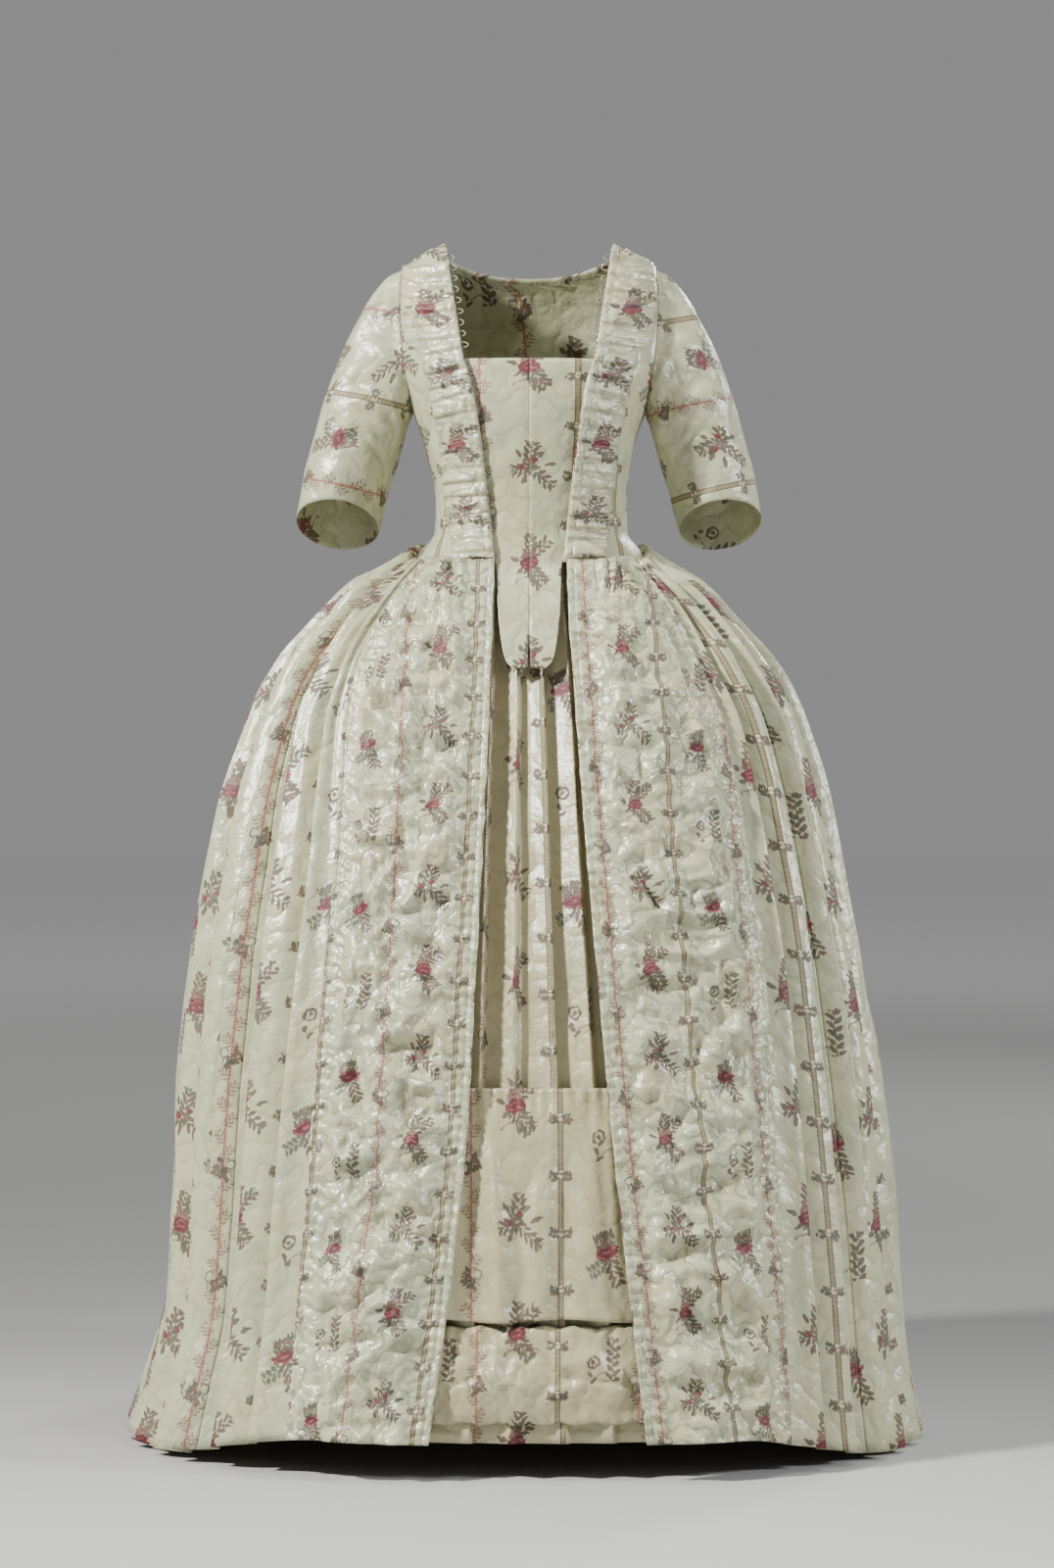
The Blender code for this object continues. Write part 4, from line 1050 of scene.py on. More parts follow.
def neck_loops_piece(side, thread):
    """All loops of one neck edge, joined."""
    heights = np.arange(-0.017, NECK_FRONT + 0.012, -LOOP_PITCH)
    points, faces = [], []
    bend = np.linspace(-0.25, math.pi + 0.25, 15)
    ring = np.linspace(0, math.tau, THREAD_SIDES, endpoint=False)
    for number, height in enumerate(heights):
        z = height + LOOP_HALF * np.cos(bend) * (1 + 0.12 * math.sin(number * 2.3))
        reach = LOOP_REACH * (0.85 + 0.15 * math.sin(number * 1.7))
        x = ROBING.at("inner", z) - 0.0012 - reach * np.clip(np.sin(bend), -0.3, 1)
        line = on_figure(angle_at(x, z, side), z, side) - (0, LAYER * 0.6, 0)
        ahead = unit(np.gradient(line, axis=0))
        level = unit(np.cross(ahead, (0.0, 1.0, 0.0)))
        third = np.cross(ahead, level)
        circle = level[:, None] * np.cos(ring)[None, :, None] + third[:, None] * np.sin(ring)[None, :, None]
        start = len(points)
        points.extend((line[:, None] + THREAD * circle).reshape(-1, 3).tolist())
        for step in range(len(bend) - 1):
            first = start + step * THREAD_SIDES
            for turn in range(THREAD_SIDES):
                a, b = first + turn, first + (turn + 1) % THREAD_SIDES
                faces.append((a, b, b + THREAD_SIDES, a + THREAD_SIDES))
        last = start + (len(bend) - 1) * THREAD_SIDES
        faces.append(tuple(start + turn for turn in reversed(range(THREAD_SIDES))))
        faces.append(tuple(last + turn for turn in range(THREAD_SIDES)))
    mesh = bpy.data.meshes.new(f"neck_loops_{side}_thread")
    mesh.from_pydata(points, [], faces)
    mesh.shade_smooth()
    mesh.materials.append(thread)
    piece = bpy.data.objects.new(mesh.name, mesh)
    bpy.context.scene.collection.objects.link(piece)
    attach(piece, "root")
    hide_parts(f"neck_loops_{side}")
    finished.append(piece)
    print(piece.name, len(heights), "loops")


# %% [markdown]
# ## The sleeves
#
# Plain elbow sleeves, set into the armhole and cut with the silk turned, so that its stripes run
# round the arm. The sleeve narrows to the elbow and dips behind it. A few drag lines run from the
# armhole, and soft creases gather at the bend of the arm.

# %% The sleeves
CUFF_CENTRE = (0.224, 0.010, -0.323)
CUFF_ACROSS, CUFF_DEEP, CUFF_DIP, CUFF_SLOPE = 0.048, 0.056, 0.025, 0.004
SLEEVE_GAP = 0.0002
SLEEVE_PHASE = {"left": (-0.085, 0.02), "right": (-0.180, 0.05)}
SLEEVE_SCALE = {"left": 1.09, "right": 1.05}
SLEEVE_TILT = 0.22  # the stripes climb towards the outside of the arm
ARM_RADIUS, SLEEVE_LENGTH = 0.05, 0.22  # to measure the creases evenly
SLEEVE_RISE = 1.7  # the creases stand this much prouder than drawn
SLEEVE_CREASES = (
    # (turn, share of the length) of each point, width in turns, height
    (((-0.55, 0.08), (0.10, 0.22), (0.55, 0.40)), 0.16, 0.0022),
    (((-0.80, 0.20), (-0.10, 0.36), (0.45, 0.56)), 0.15, -0.0022),
    (((-0.70, 0.40), (0.00, 0.50), (0.60, 0.66)), 0.14, 0.0024),
    (((-0.85, 0.60), (-0.20, 0.64), (0.35, 0.80)), 0.13, -0.0020),
    (((0.55, 0.02), (0.75, 0.20), (0.95, 0.42)), 0.16, 0.0018),
    (((2.60, 0.10), (3.10, 0.30), (3.50, 0.46)), 0.20, 0.0022),
    (((2.40, 0.45), (3.00, 0.58), (3.60, 0.66)), 0.18, -0.0022),
    (((2.80, 0.62), (3.30, 0.76), (3.90, 0.84)), 0.18, 0.0022),
)


def sleeve_sheet(side, silk):
    """The elbow sleeve: from each point of the armhole a curve runs to the cuff."""
    turn = -math.pi / 2 + np.arange(112) * math.tau / 112
    middle, half = (ARMPIT - STRAP_DROP) / 2, (-STRAP_DROP - ARMPIT) / 2
    z = middle + (half - 0.0006) * np.sin(turn)
    x = np.minimum(ARMHOLE.at("out", z), FIGURE.at(side, z) - 0.0005)
    y = np.where(np.cos(turn) > 0, -depth(x, z, side, "front"), depth(x, z, side, "back"))
    start = np.stack([x, y, z], axis=-1)
    up = (np.sin(turn)[:, None] + 1) / 2
    leave = up * (0.055, 0, -0.022) + (1 - up) * (0.010, 0, -0.040)
    arrive = up * (0.018, 0, -0.120) + (1 - up) * (0.010, 0, -0.045)
    start = start + unit(leave) * SLEEVE_GAP
    cuff_x = CUFF_CENTRE[0] + CUFF_ACROSS * np.sin(turn)
    cuff_y = CUFF_CENTRE[1] - CUFF_DEEP * np.cos(turn)
    cuff_z = CUFF_CENTRE[2] + CUFF_DIP * np.cos(turn) + CUFF_SLOPE * np.sin(turn)
    cuff = np.stack([cuff_x, cuff_y, cuff_z], axis=-1)
    t = np.linspace(0, 1, 66)[:, None, None]
    curve = start * (1 - t) ** 3 + (start + leave) * 3 * t * (1 - t) ** 2
    curve = curve + (cuff - arrive) * 3 * t**2 * (1 - t) + cuff * t**3
    grid = curve * (SIDES[side], 1, 1)
    around = turn[None, :] + 0 * t[..., 0]
    share = t[..., 0] + 0 * around
    stands = 0 * around
    shift = 0.0 if side == "right" else 0.12
    for path, width, height in SLEEVE_CREASES:
        placed = [((a + shift) * ARM_RADIUS, b * SLEEVE_LENGTH) for a, b in path]
        laid_out = (around * ARM_RADIUS, share * SLEEVE_LENGTH)
        stands = stands + ridge(*laid_out, placed, width * ARM_RADIUS, SLEEVE_RISE * height)
    stands = stands + 0.0008 * ripple(around * 0.05, share * 0.2, 0.06, seed=51)
    stands = stands + 0.0014 * facets((around + share) * ARM_RADIUS, share * 0.2, 0.034, seed=53)
    stands = stands * ease(share * 10) * ease((1 - share) * 14)
    centre = grid.mean(axis=1, keepdims=True)
    outward = unit(np.cross(np.roll(grid, -1, 1) - np.roll(grid, 1, 1), np.gradient(grid, axis=0)))
    outward = outward * np.sign(np.sum(outward * (grid - centre)))
    grid = grid + outward * stands[..., None]
    closed = np.concatenate([grid, grid[:, :1]], axis=1)
    out = np.abs(closed[..., 0]) - 0.19
    first_across, first_down = SLEEVE_PHASE[side]
    across = (-closed[..., 2] + SLEEVE_TILT * out + first_across) * SLEEVE_SCALE[side]
    cloth = np.stack([across, along(closed, 1) + first_down], axis=-1)
    piece = sheet_of_silk(f"sleeve_{side}", grid, cloth, silk, round_tube=True)


# %% [markdown]
# ## Writing a material as arithmetic
#
# The silk's pattern is drawn with formulas: how far inside a leaf, a petal or a stripe a point of the
# cloth lies. Shader nodes can do that sum, and a small class lets it be written as plain expressions:
# each operator adds its node. Distances are in millimetres of flat cloth, like a weaver's draft.

# %% A socket that takes part in arithmetic
class Wire:
    """One output of a node in the material that is being made."""

    def __init__(self, tree, socket):
        self.tree, self.socket = tree, socket

    def node(self, kind, settings, sockets, output=0):
        """Adds a node of any type: its settings first, then the values or wires of its sockets."""
        made = self.tree.nodes.new(kind)
        for name, value in settings.items():
            setattr(made, name, value)
        for key, value in sockets.items():
            if isinstance(value, Wire):
                self.tree.links.new(value.socket, made.inputs[key])
            else:
                made.inputs[key].default_value = value
        return Wire(self.tree, made.outputs[output])

    def math(self, operation, *values):
        return self.node("ShaderNodeMath", {"operation": operation}, dict(enumerate(values)))

    def __add__(self, other):
        return self.math("ADD", self, other)

    __radd__ = __add__

    def __sub__(self, other):
        return self.math("SUBTRACT", self, other)

    def __rsub__(self, other):
        return self.math("SUBTRACT", other, self)

    def __mul__(self, other):
        return self.math("MULTIPLY", self, other)

    __rmul__ = __mul__

    def __truediv__(self, other):
        return self.math("DIVIDE", self, other)

    def __mod__(self, other):
        return self.math("FLOORED_MODULO", self, other)

    def __gt__(self, other):
        return self.math("GREATER_THAN", self, other)

    def __lt__(self, other):
        return self.math("LESS_THAN", self, other)

    def __abs__(self):
        return self.math("ABSOLUTE", self)

    def __and__(self, other):
        """Inside both shapes."""
        return self.math("MINIMUM", self, other)

    def __or__(self, other):
        """Inside either shape."""
        return self.math("MAXIMUM", self, other)

    def sine(self):
        return self.math("SINE", self)

    def dot(self, vector):
        """Dot product of a vector wire with a constant vector."""
        settings = {"operation": "DOT_PRODUCT"}
        return self.node("ShaderNodeVectorMath", settings, {0: self, 1: vector}, output=1)

    def cover(self, soft=0.5):
        """A field that is positive inside a shape, as a mask from 0 to 1 with a soft edge."""
        clamped = {"operation": "MULTIPLY_ADD", "use_clamp": True}
        return self.node("ShaderNodeMath", clamped, {0: self, 1: 1 / soft, 2: 0.5})

    def tint(self, mask, colour):
        """This colour, covered by another where the mask is 1."""
        return self.node("ShaderNodeMix", {"data_type": "RGBA"}, {0: mask, 6: self, 7: colour}, output=2)


def dye(red, green, blue):
    """A dyer's shade given as 0 to 255 display values, as linear colour."""
    linear = [((v / 255 + 0.055) / 1.055) ** 2.4 for v in (red, green, blue)]
    return (*linear, 1.0)


# %% [markdown]
# ## Leaves, sprays and roses
#
# Every motif is built from four shapes. A leaf is a parabola on each side of its midrib. A spray is a
# stem with leaves folded into one period, so a whole branch costs no more than two leaves. A blossom
# is a circle whose edge waves round, and a ring is the distance from a circle. Each shape is placed in
# the millimetres of its own motif, with y running down the cloth.

# %% The shapes of the pattern
def leaf(spot, x, y, turn, length, width):
    """Inside a leaf whose middle is at (x, y), turned by this many degrees."""
    c, s = math.cos(math.radians(turn)), math.sin(math.radians(turn))
    half = length / 2
    forward = spot.dot((c / half, s / half, -(x * c + y * s) / half))
    sideways = spot.dot((-s, c, x * s - y * c))
    return width / 2 * (1 - forward * forward) - abs(sideways)


def spray(spot, x, y, turn, length, pitch, leaf_length, leaf_width, lean=0.8):
    """Inside a stem from (x, y) with leaves on alternate sides, leaning forward."""
    c, s = math.cos(math.radians(turn)), math.sin(math.radians(turn))
    forward = spot.dot((c, s, -(x * c + y * s)))
    sideways = spot.dot((-s, c, x * s - y * c))
    out = abs(sideways)
    step = forward - out * lean + (sideways > 0) * (pitch / 2)
    from_midrib = abs(step % pitch - pitch / 2)
    leaves = out * (leaf_length - out) * (2 * leaf_width / leaf_length**2) - from_midrib
    return (leaves | (0.5 - out)) & (forward & (length - forward))


def blossom(spot, x, y, wide, tall, turn=0.0):
    """Distance from the middle of an oval flower, as a share of its size."""
    c, s = math.cos(math.radians(turn)), math.sin(math.radians(turn))
    forward = spot.dot((c / wide, s / wide, -(x * c + y * s) / wide))
    sideways = spot.dot((-s / tall, c / tall, (x * s - y * c) / tall))
    square = forward * forward + sideways * sideways
    return square.math("SQRT", square)


# %% [markdown]
# ## The brocaded silk
#
# The weaver repeats one unit 224 mm wide and 249 mm long: an olive stripe set with small ring flowers, a
# dotted pink line with twigs and ribbon knots, and between them two columns of sprigs, one with roses
# and one with a ring flower and a lying rose. The same drawing serves gown, trimming and petticoat.

# %% Threads of the brocade
LEAF_GREEN = dye(62, 66, 48)
LEAF_BROWN = dye(98, 70, 56)
LEAF_GREY = dye(92, 96, 80)
TWIG_BROWN = dye(116, 86, 70)
ROSE_CRIMSON = dye(106, 22, 32)
ROSE_DEEP = dye(78, 22, 32)
ROSE_PALE = dye(164, 94, 84)
ROSE_BROWN = dye(118, 80, 66)
PINK_LINE = dye(164, 86, 72)
STRIPE_OLIVE = dye(138, 126, 90)
STRIPE_EDGE = dye(86, 74, 48)
RING_CREAM = dye(206, 198, 160)
ACROSS_MM, DOWN_MM = 224.0, 249.0


def cloudy_shade(silk_uv):
    """The leaves' own colour, which drifts from grey green to brown."""
    drift = silk_uv.node("ShaderNodeTexNoise", {}, {"Vector": silk_uv, "Scale": 120.0, "Detail": 0.0})
    share = (drift - 0.5) * 3.0 + 0.5
    shades = {0: share, 6: LEAF_GREEN, 7: LEAF_BROWN}
    return drift.node("ShaderNodeMix", {"data_type": "RGBA"}, shades, output=2)


def woven(silk_uv, ground):
    """Base colour of the brocade, and a mask of where the coloured threads lie."""
    wandering = {"Vector": silk_uv, "Scale": 95.0, "Detail": 1.0}
    wander = silk_uv.node("ShaderNodeTexNoise", {}, wandering, output=1)
    drift = wander.node("ShaderNodeSeparateXYZ", {}, {0: wander}, output=0)
    drift_down = wander.node("ShaderNodeSeparateXYZ", {}, {0: wander}, output=1)
    split = silk_uv.node("ShaderNodeSeparateXYZ", {}, {0: silk_uv}, output=0)
    split_down = silk_uv.node("ShaderNodeSeparateXYZ", {}, {0: silk_uv}, output=1)
    across = split * 1000.0
    down = split_down * 1000.0
    loose_across = across + (drift - 0.5) * 5.0
    loose_down = down + (drift_down - 0.5) * 5.0

    def place(middle_across, middle_down, period_down=DOWN_MM):
        """Millimetres from the middle of the nearest copy of a motif: across, down and the vector."""
        x = (loose_across + (ACROSS_MM / 2 - middle_across)) % ACROSS_MM - ACROSS_MM / 2
        y = (loose_down + (period_down / 2 - middle_down)) % period_down - period_down / 2
        return x, y, x.node("ShaderNodeCombineXYZ", {}, {0: x, 1: y, 2: 1.0})

    # the olive stripe and its ring flowers
    from_stripe = abs((across + ACROSS_MM / 2) % ACROSS_MM - ACROSS_MM / 2)
    bead = (down * (math.tau / 5.2)).sine()
    colour = ground.tint((3.7 - from_stripe).cover(), STRIPE_EDGE)
    colour = colour.tint((2.3 + bead * 0.5 - from_stripe).cover(), STRIPE_OLIVE)
    _, ring_down, _ = place(0.0, 12.0, DOWN_MM / 4)
    mirrored = across.node("ShaderNodeCombineXYZ", {}, {0: from_stripe, 1: ring_down, 2: 1.0})
    around = blossom(mirrored, 0.0, 0.0, 4.6, 4.6)
    colour = colour.tint(((1.12 - around) * 4.0).cover() * 0.7, STRIPE_EDGE)
    colour = colour.tint(((0.92 - around) * 4.0).cover(), RING_CREAM)
    colour = colour.tint(((0.34 - around) * 4.0).cover() * 0.6, STRIPE_EDGE)
    dark = spray(mirrored, 3.0, 3.0, -14, 11.0, 4.2, 5.6, 3.2) | leaf(mirrored, 7.5, 5.0, 35, 7.5, 3.0)

    # the dotted pink line, its twigs and its ribbon knots
    from_line = (across % ACROSS_MM) - ACROSS_MM / 2
    dotted = 1.5 - abs(from_line) + (down * (math.tau / 4.0)).sine() * 0.6
    line_mask = dotted.cover(0.8)
    half_step = DOWN_MM / 28
    other_way = (loose_down % (4 * half_step) > 2 * half_step) * 2.0 - 1.0
    twig_down = loose_down % (2 * half_step) - half_step
    twig_across = (loose_across % ACROSS_MM - ACROSS_MM / 2) * other_way
    twig_spot = across.node("ShaderNodeCombineXYZ", {}, {0: twig_across, 1: twig_down, 2: 1.0})
    twigs = spray(twig_spot, 0.0, 6.0, -52, 16.0, 5.0, 6.6, 3.6, 0.6)
    knot_side = (loose_down % DOWN_MM > DOWN_MM / 2) * 2.0 - 1.0
    knot_across = (loose_across % ACROSS_MM - ACROSS_MM / 2) * knot_side
    knot_down = loose_down % (DOWN_MM / 2) - DOWN_MM / 4
    knot_spot = across.node("ShaderNodeCombineXYZ", {}, {0: knot_across, 1: knot_down, 2: 1.0})
    loop_high = 0.9 - abs(blossom(knot_spot, 8.5, -5.0, 1.0, 1.0) - 5.0)
    loop_low = 0.9 - abs(blossom(knot_spot, 13.5, 4.0, 1.0, 1.0) - 5.0)
    ribbon = (loop_high & (knot_spot.dot((1.0, -0.2, -5.0)))) | (loop_low & (11.0 - knot_across))
    dark = dark | spray(knot_spot, 4.0, 6.0, 205, 17.0, 5.4, 7.6, 4.8, 0.4)
    dark = dark | leaf(knot_spot, 3.0, 9.0, 70, 11.0, 4.6) | leaf(knot_spot, -4.0, -9.0, 60, 10.0, 4.4)

    # the sprig with a full rose
    _, _, rose_spot = place(168.0, 0.0)
    dark = dark | spray(rose_spot, 0.0, -14.0, -82, 24.0, 7.6, 9.5, 6.0)
    dark = dark | spray(rose_spot, 6.0, -12.0, -40, 28.0, 8.0, 8.6, 5.6)
    dark = dark | spray(rose_spot, 0.0, 4.0, 50, 32.0, 7.0, 12.0, 6.6)
    dark = dark | leaf(rose_spot, -19.0, -5.0, 15, 12.0, 5.4) | leaf(rose_spot, -12.0, 9.0, -35, 12.0, 5.0)
    twig = leaf(rose_spot, -5.0, 18.0, 165, 28.0, 2.2) | leaf(rose_spot, -17.0, 24.0, 120, 9.0, 3.2)
    dark = dark | leaf(rose_spot, 5.0, 26.0, 85, 11.0, 4.6)
    petals = blossom(rose_spot, 0.0, 0.0, 12.5, 8.0, -12)
    dome = blossom(rose_spot, -0.5, -7.5, 9.5, 8.5)

    # the light sprig
    _, _, light_spot = place(168.0, DOWN_MM / 2)
    dark = dark | spray(light_spot, -2.0, 6.0, -78, 36.0, 7.8, 10.0, 5.8)
    dark = dark | spray(light_spot, 0.0, 2.0, 40, 40.0, 8.6, 9.0, 5.4)
    dark = dark | spray(light_spot, 2.0, 2.0, 165, 24.0, 7.6, 9.0, 5.4)
    dark = dark | leaf(light_spot, -12.0, -14.0, 50, 11.0, 5.0)
    dark = dark | leaf(light_spot, 14.0, -13.0, -40, 12.0, 5.0)
    dark = dark | leaf(light_spot, -6.0, 18.0, 110, 14.0, 5.4) | leaf(light_spot, 26.0, -1.0, -15, 14.0, 4.4)
    small = blossom(light_spot, 5.5, -7.0, 4.6, 3.6) & blossom(light_spot, -9.0, 3.0, 4.6, 3.4)

    # the ring flower and its hanging branch
    _, _, ring_spot = place(48.0, 34.0)
    ring_flower = blossom(ring_spot, 0.0, 0.0, 1.0, 1.0)
    dark = dark | (1.1 - abs(ring_flower - 6.6)) | (2.3 - ring_flower)
    dark = dark | spray(ring_spot, 26.0, 24.0, -88, 52.0, 9.6, 9.6, 6.4, 0.5)
    twig = twig | leaf(ring_spot, 12.0, 14.0, -22, 36.0, 1.9)
    dark = dark | leaf(ring_spot, -4.0, 15.0, 60, 10.0, 3.8) | leaf(ring_spot, 1.0, 23.0, -35, 10.0, 3.6)

    # the lying rose
    _, _, lying_spot = place(56.0, 159.0)
    lying = blossom(lying_spot, 0.0, 0.0, 14.0, 7.0, -14)
    dark = dark | spray(lying_spot, -14.0, -8.0, -20, 24.0, 4.6, 11.0, 5.0, 0.3)
    dark = dark | spray(lying_spot, 2.0, 4.0, 66, 34.0, 8.0, 10.0, 5.8)
    grey = spray(lying_spot, -3.0, 12.0, 150, 22.0, 6.0, 9.0, 5.4, 0.3)

    # colours, from the ground up: threads are broken by the weave, so edges are ragged
    ragged = silk_uv.node("ShaderNodeTexNoise", {}, {"Vector": silk_uv, "Scale": 900.0, "Detail": 0.0})
    rough_edge = (ragged - 0.5) * 1.6
    patchy = silk_uv.node("ShaderNodeTexNoise", {}, {"Vector": silk_uv, "Scale": 210.0, "Detail": 0.0})
    uneven = rough_edge + (patchy - 0.5) * 4.4 + 0.55
    pale_petal = ((petals * 7.0 + drift * 9.0).sine() + (lying * 9.0).sine()) * 0.5
    twig_mask = ((twigs | twig) + rough_edge).cover(0.7)
    leaf_mask = (dark + uneven).cover(0.7)
    grey_mask = ((grey | ribbon) + rough_edge * 0.5).cover(0.7)
    petal_mask = ((0.94 - (petals & lying)) * 9.0 + uneven * 1.3).cover()
    dome_mask = ((1.0 - dome) * 8.0 + uneven * 1.3).cover()
    small_mask = ((1.0 - small) * 5.0 + rough_edge).cover()
    colour = colour.tint(line_mask * 0.85, PINK_LINE)
    colour = colour.tint(twig_mask * 0.8, TWIG_BROWN)
    colour = colour.tint(grey_mask * 0.9, LEAF_GREY)
    leaf_shade = cloudy_shade(silk_uv)
    colour = colour.tint(leaf_mask * (0.74 + ragged * 0.4), leaf_shade)
    colour = colour.tint(dome_mask * 0.9, ROSE_BROWN)
    colour = colour.tint(small_mask * 0.85, ROSE_CRIMSON)
    colour = colour.tint(petal_mask, ROSE_CRIMSON)
    colour = colour.tint(petal_mask * (pale_petal > 0.62) * 0.65, ROSE_PALE)
    colour = colour.tint(petal_mask * (pale_petal < -0.05) * 0.75, ROSE_DEEP)
    colour = colour.tint(((dome * 11.0).sine() > 0.5) * dome_mask * 0.5, ROSE_DEEP)
    threads = leaf_mask | petal_mask | twig_mask | dome_mask | (3.7 - from_stripe).cover()
    return colour, threads


# %% [markdown]
# ## Taffeta
#
# Taffeta is crisp and has a low, broad shine. Its ground is woven of warp and weft of slightly different
# shades, so it drifts between a cool mint grey and a warm cream. Fine cross ribs and handling creases
# go into the bump. Painted shade darkens the colour along the broad creases of the more crushed silks,
# and the brocaded threads are duller than the ground.

# %% The silks
# painted shade: a darker colour laid along the broad crease lines in place of their shadow
PAINTED_CREASE_SHADE = dye(118, 116, 88)
CLOUDS, BROAD_CREASES, FINE_CREASES, CUSHIONS = 9.0, 24.0, 62.0, 36.0  # per metre of cloth
RIB_PITCH = 0.0009
CREASE_RELIEF = 0.0030
THREAD_DULLNESS = 0.34  # the brocaded threads are this much rougher than the ground


def taffeta(name, cool, warm, roughness, crush):
    """One finish of the silk: its two ground shades, its dullness and how crushed it is."""
    silk = bpy.data.materials.new(name)
    silk.use_nodes = True
    tree = silk.node_tree
    shader = tree.nodes["Principled BSDF"]
    start = Wire(tree, None)
    cloth = start.node("ShaderNodeUVMap", {"uv_map": "cloth"}, {})
    cloudy = cloth.node("ShaderNodeTexNoise", {}, {"Vector": cloth, "Scale": CLOUDS, "Detail": 2.0})
    mixed = cloth.node("ShaderNodeMix", {"data_type": "RGBA"}, {0: cloudy, 6: cool, 7: warm}, output=2)
    broad = cloth.node("ShaderNodeTexNoise", {}, {"Vector": cloth, "Scale": BROAD_CREASES, "Detail": 1.0})
    fine = cloth.node("ShaderNodeTexNoise", {}, {"Vector": cloth, "Scale": FINE_CREASES, "Detail": 2.0})
    cells = cloth.node("ShaderNodeTexVoronoi", {"feature": "F1"}, {"Vector": cloth, "Scale": CUSHIONS})
    split_down = cloth.node("ShaderNodeSeparateXYZ", {}, {0: cloth}, output=1)
    ribs = (split_down * (math.tau / RIB_PITCH)).sine()
    creased = abs(broad - 0.5) * 3.4 + abs(fine - 0.5) * 1.2 + cells * 0.20
    # painted shade along the broad crease lines, stronger on the more crushed silks
    painted_crease_mask = ((0.034 - abs(broad - 0.5)) * 26.0).cover() * (0.55 * crush * crush)
    colour, threads = woven(cloth, mixed.tint(painted_crease_mask, PAINTED_CREASE_SHADE))
    height = creased * crush + ribs * 0.005
    settings = {"Strength": 1.0, "Distance": CREASE_RELIEF, "Height": height}
    relief = cloth.node("ShaderNodeBump", {}, settings)
    tree.links.new(colour.socket, shader.inputs["Base Color"])
    tree.links.new((threads * THREAD_DULLNESS + roughness).socket, shader.inputs["Roughness"])
    tree.links.new(relief.socket, shader.inputs["Normal"])
    shader.inputs["Specular IOR Level"].default_value = 0.85
    shader.inputs["Sheen Weight"].default_value = 0.10
    shader.inputs["Sheen Roughness"].default_value = 0.35
    print(name, len(tree.nodes), "nodes")
    return silk


def thread_finish(name, shade):
    """Twisted silk thread of one shade, with its ply as a fine bump."""
    thread = bpy.data.materials.new(name)
    thread.use_nodes = True
    tree = thread.node_tree
    shader = tree.nodes["Principled BSDF"]
    start = Wire(tree, None)
    place = start.node("ShaderNodeTexCoord", {}, {}, output=3)
    ply = place.node("ShaderNodeTexNoise", {}, {"Vector": place, "Scale": 1400.0})
    lighter = tuple(min(1.0, value * 1.5) for value in shade[:3]) + (1.0,)
    colour = place.node("ShaderNodeMix", {"data_type": "RGBA"}, {0: ply, 6: shade, 7: lighter}, output=2)
    relief = place.node("ShaderNodeBump", {}, {"Strength": 0.6, "Distance": 0.0002, "Height": ply})
    tree.links.new(colour.socket, shader.inputs["Base Color"])
    tree.links.new(relief.socket, shader.inputs["Normal"])
    shader.inputs["Roughness"].default_value = 0.55
    return thread


gown_silk = taffeta("gown_silk", dye(172, 181, 154), dye(200, 193, 151), 0.31, 0.60)
trim_silk = taffeta("trim_silk", dye(170, 182, 159), dye(204, 195, 152), 0.27, 0.90)
petticoat_silk = taffeta("petticoat_silk", dye(171, 171, 137), dye(195, 181, 137), 0.34, 0.55)
loop_thread = thread_finish("loop_thread", dye(150, 152, 132))

# %% [markdown]
# ## Sewing it all together
#
# Each builder above makes one piece for each side. They run in the order in which the gown is worn.

# %% Build every piece
bodice_back_sheet(gown_silk)
for side in SIDES:
    bodice_front_sheet(side, gown_silk)
    stomacher_sheet(side, gown_silk)
    robing_sheet(side, trim_silk)
    neck_loops_piece(side, loop_thread)
    sleeve_sheet(side, gown_silk)
    skirt_sheets(side, gown_silk)
    trim_sheet(side, trim_silk)
    sack_sheet(side, gown_silk)
petticoat_front_sheet(petticoat_silk)
petticoat_back_sheet(petticoat_silk)
flounce_sheet(petticoat_silk)
puff_sheet(petticoat_silk)
print(len(finished), "pieces")

# %% [markdown]
# ## Stage, light and camera
#
# The floor is one wide plane. Light and shade are painted into its paper's colour: a pale painted pool of
# light in front of the gown, painted shade outside it, and pale again far off, where it meets the grey of
# the studio air. One strong lamp stands high at the wearer's right, a weaker one fills from the other side,
# and two more light the top and the back.
# The camera stands level with the skirt's upper third, far back with a long lens, so the gown isn't
# distorted.

# %% Floor
FLOOR_TOP = packed_box[0][2] - 0.0005
FLOOR_HALF = 60.0
PAINTED_POOL_MIDDLE = (0.0, 1.6, 0.0)  # added to the place: the pool lies in front of the gown
# painted light and shade in the floor's colour: a pale pool of light in front of the gown, shade round it,
# pale again far off
PAINTED_POOL_LIGHT, PAINTED_FLOOR_SHADE, FAR_PAINTED_LIGHT = 0.62, 0.215, 0.97
PAINTED_POOL_EDGE, FAR_EDGE = (0.1, 2.9), (3.2, 13.3)
paper = bpy.data.materials.new("studio_paper")
paper.use_nodes = True
tree = paper.node_tree
tree.nodes["Principled BSDF"].inputs["Roughness"].default_value = 0.9
tree.nodes["Principled BSDF"].inputs["Specular IOR Level"].default_value = 0.1
place = Wire(tree, None).node("ShaderNodeNewGeometry", {}, {}, output=0)
moved = place.node("ShaderNodeVectorMath", {"operation": "ADD"}, {0: place, 1: PAINTED_POOL_MIDDLE})
flat_away = moved.node("ShaderNodeVectorMath", {"operation": "MULTIPLY"}, {0: moved, 1: (1.0, 1.0, 0.0)})
away = flat_away.node("ShaderNodeVectorMath", {"operation": "LENGTH"}, {0: flat_away}, output=1)
soft = {"interpolation_type": "SMOOTHSTEP"}
out_of_painted_pool = away.node("ShaderNodeMapRange", soft, {0: away, 1: PAINTED_POOL_EDGE[0], 2: PAINTED_POOL_EDGE[1]})
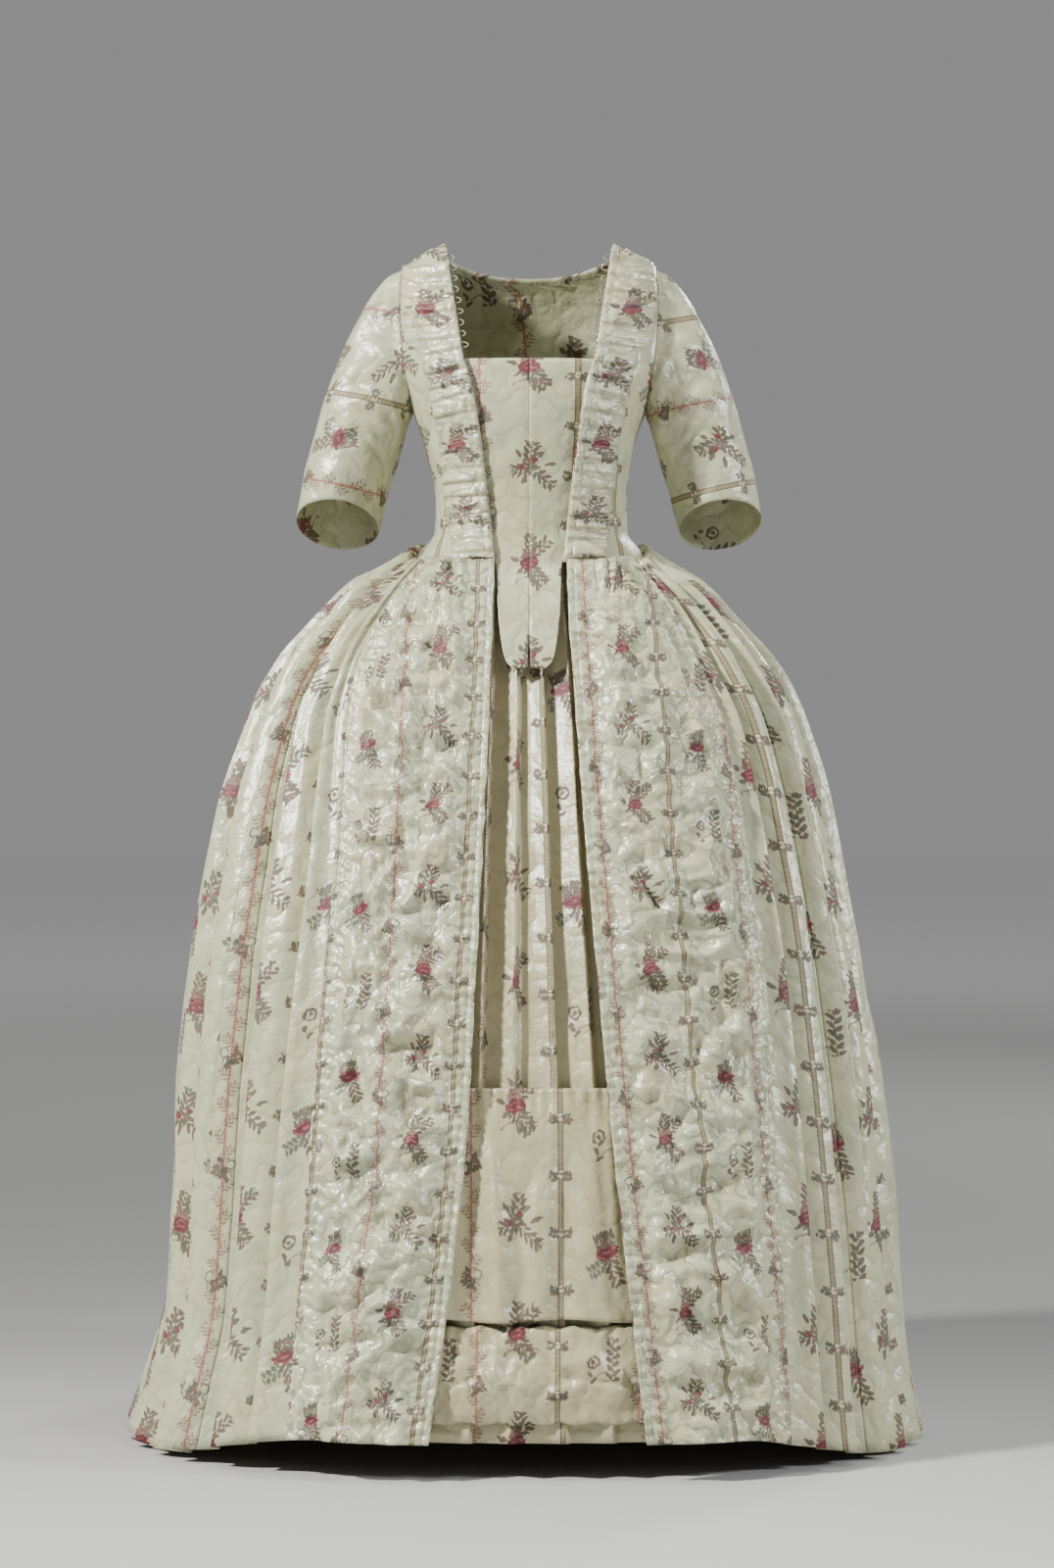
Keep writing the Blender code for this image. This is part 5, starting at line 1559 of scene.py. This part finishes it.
far_off = away.node("ShaderNodeMapRange", soft, {0: away, 1: FAR_EDGE[0], 2: FAR_EDGE[1]})
tones = {0: out_of_painted_pool, 6: (*[PAINTED_POOL_LIGHT] * 3, 1), 7: (*[PAINTED_FLOOR_SHADE] * 3, 1)}
near_colour = out_of_painted_pool.node("ShaderNodeMix", {"data_type": "RGBA"}, tones, output=2)
floor_colour = near_colour.tint(far_off, (*[FAR_PAINTED_LIGHT] * 3, 1))
tree.links.new(floor_colour.socket, tree.nodes["Principled BSDF"].inputs["Base Color"])
corners = [(x * FLOOR_HALF, y * FLOOR_HALF, FLOOR_TOP) for x, y in ((-1, -1), (1, -1), (1, 1), (-1, 1))]
floor_mesh = bpy.data.meshes.new("studio_floor")
floor_mesh.from_pydata(corners, [], [(0, 1, 2, 3)])
floor_mesh.materials.append(paper)
studio_floor = bpy.data.objects.new("studio_floor", floor_mesh)
bpy.context.scene.collection.objects.link(studio_floor)

# %% Lamps and world
AIR_TONE = 0.275
LAMPS = (
    # name, place, aim, size, watts, colour
    ("key_lamp", (-3.0, -1.9, 1.9), (0.0, 0.0, -0.70), 0.42, 385, (1.0, 0.99, 0.955)),
    ("fill_lamp", (3.9, -1.4, 0.7), (0.0, 0.0, -0.60), 0.7, 135, (0.97, 0.985, 1.0)),
    ("top_lamp", (0.6, -0.6, 3.2), (0.0, 0.0, -0.60), 0.9, 45, (1.0, 1.0, 1.0)),
    ("back_lamp", (2.4, 3.4, 1.8), (0.0, 0.2, -0.60), 0.9, 110, (1.0, 0.99, 0.97)),
)
for name, place, aim, size, watts, colour in LAMPS:
    lamp_data = bpy.data.lights.new(name, "AREA")
    lamp_data.shape = "DISK"
    lamp_data.size = size
    lamp_data.energy = watts
    lamp_data.color = colour
    lamp = bpy.data.objects.new(name, lamp_data)
    run = np.array(aim) - np.array(place)
    lean = math.atan2(math.hypot(run[0], run[1]), -run[2])
    lamp.location = place
    lamp.rotation_euler = (lean, 0, math.atan2(run[1], run[0]) - math.pi / 2)
    bpy.context.scene.collection.objects.link(lamp)
world = bpy.data.worlds.new("studio_air")
world.use_nodes = True
world.node_tree.nodes["Background"].inputs["Color"].default_value = (*[AIR_TONE] * 3, 1)
world.node_tree.nodes["Background"].inputs["Strength"].default_value = 1.0
bpy.context.scene.world = world

# %% Camera
CAMERA_PLACE = (-0.0023, -4.3, -0.626)
LENS, SENSOR = 84.6, 36.0  # millimetres
camera_data = bpy.data.cameras.new("camera")
camera_data.lens = LENS
camera_data.sensor_width = SENSOR
camera_data.sensor_fit = "AUTO"
camera_data.clip_end = 40.0
camera = bpy.data.objects.new("camera", camera_data)
camera.location = CAMERA_PLACE
camera.rotation_euler = (math.pi / 2, 0, 0)
bpy.context.scene.collection.objects.link(camera)
bpy.context.scene.camera = camera
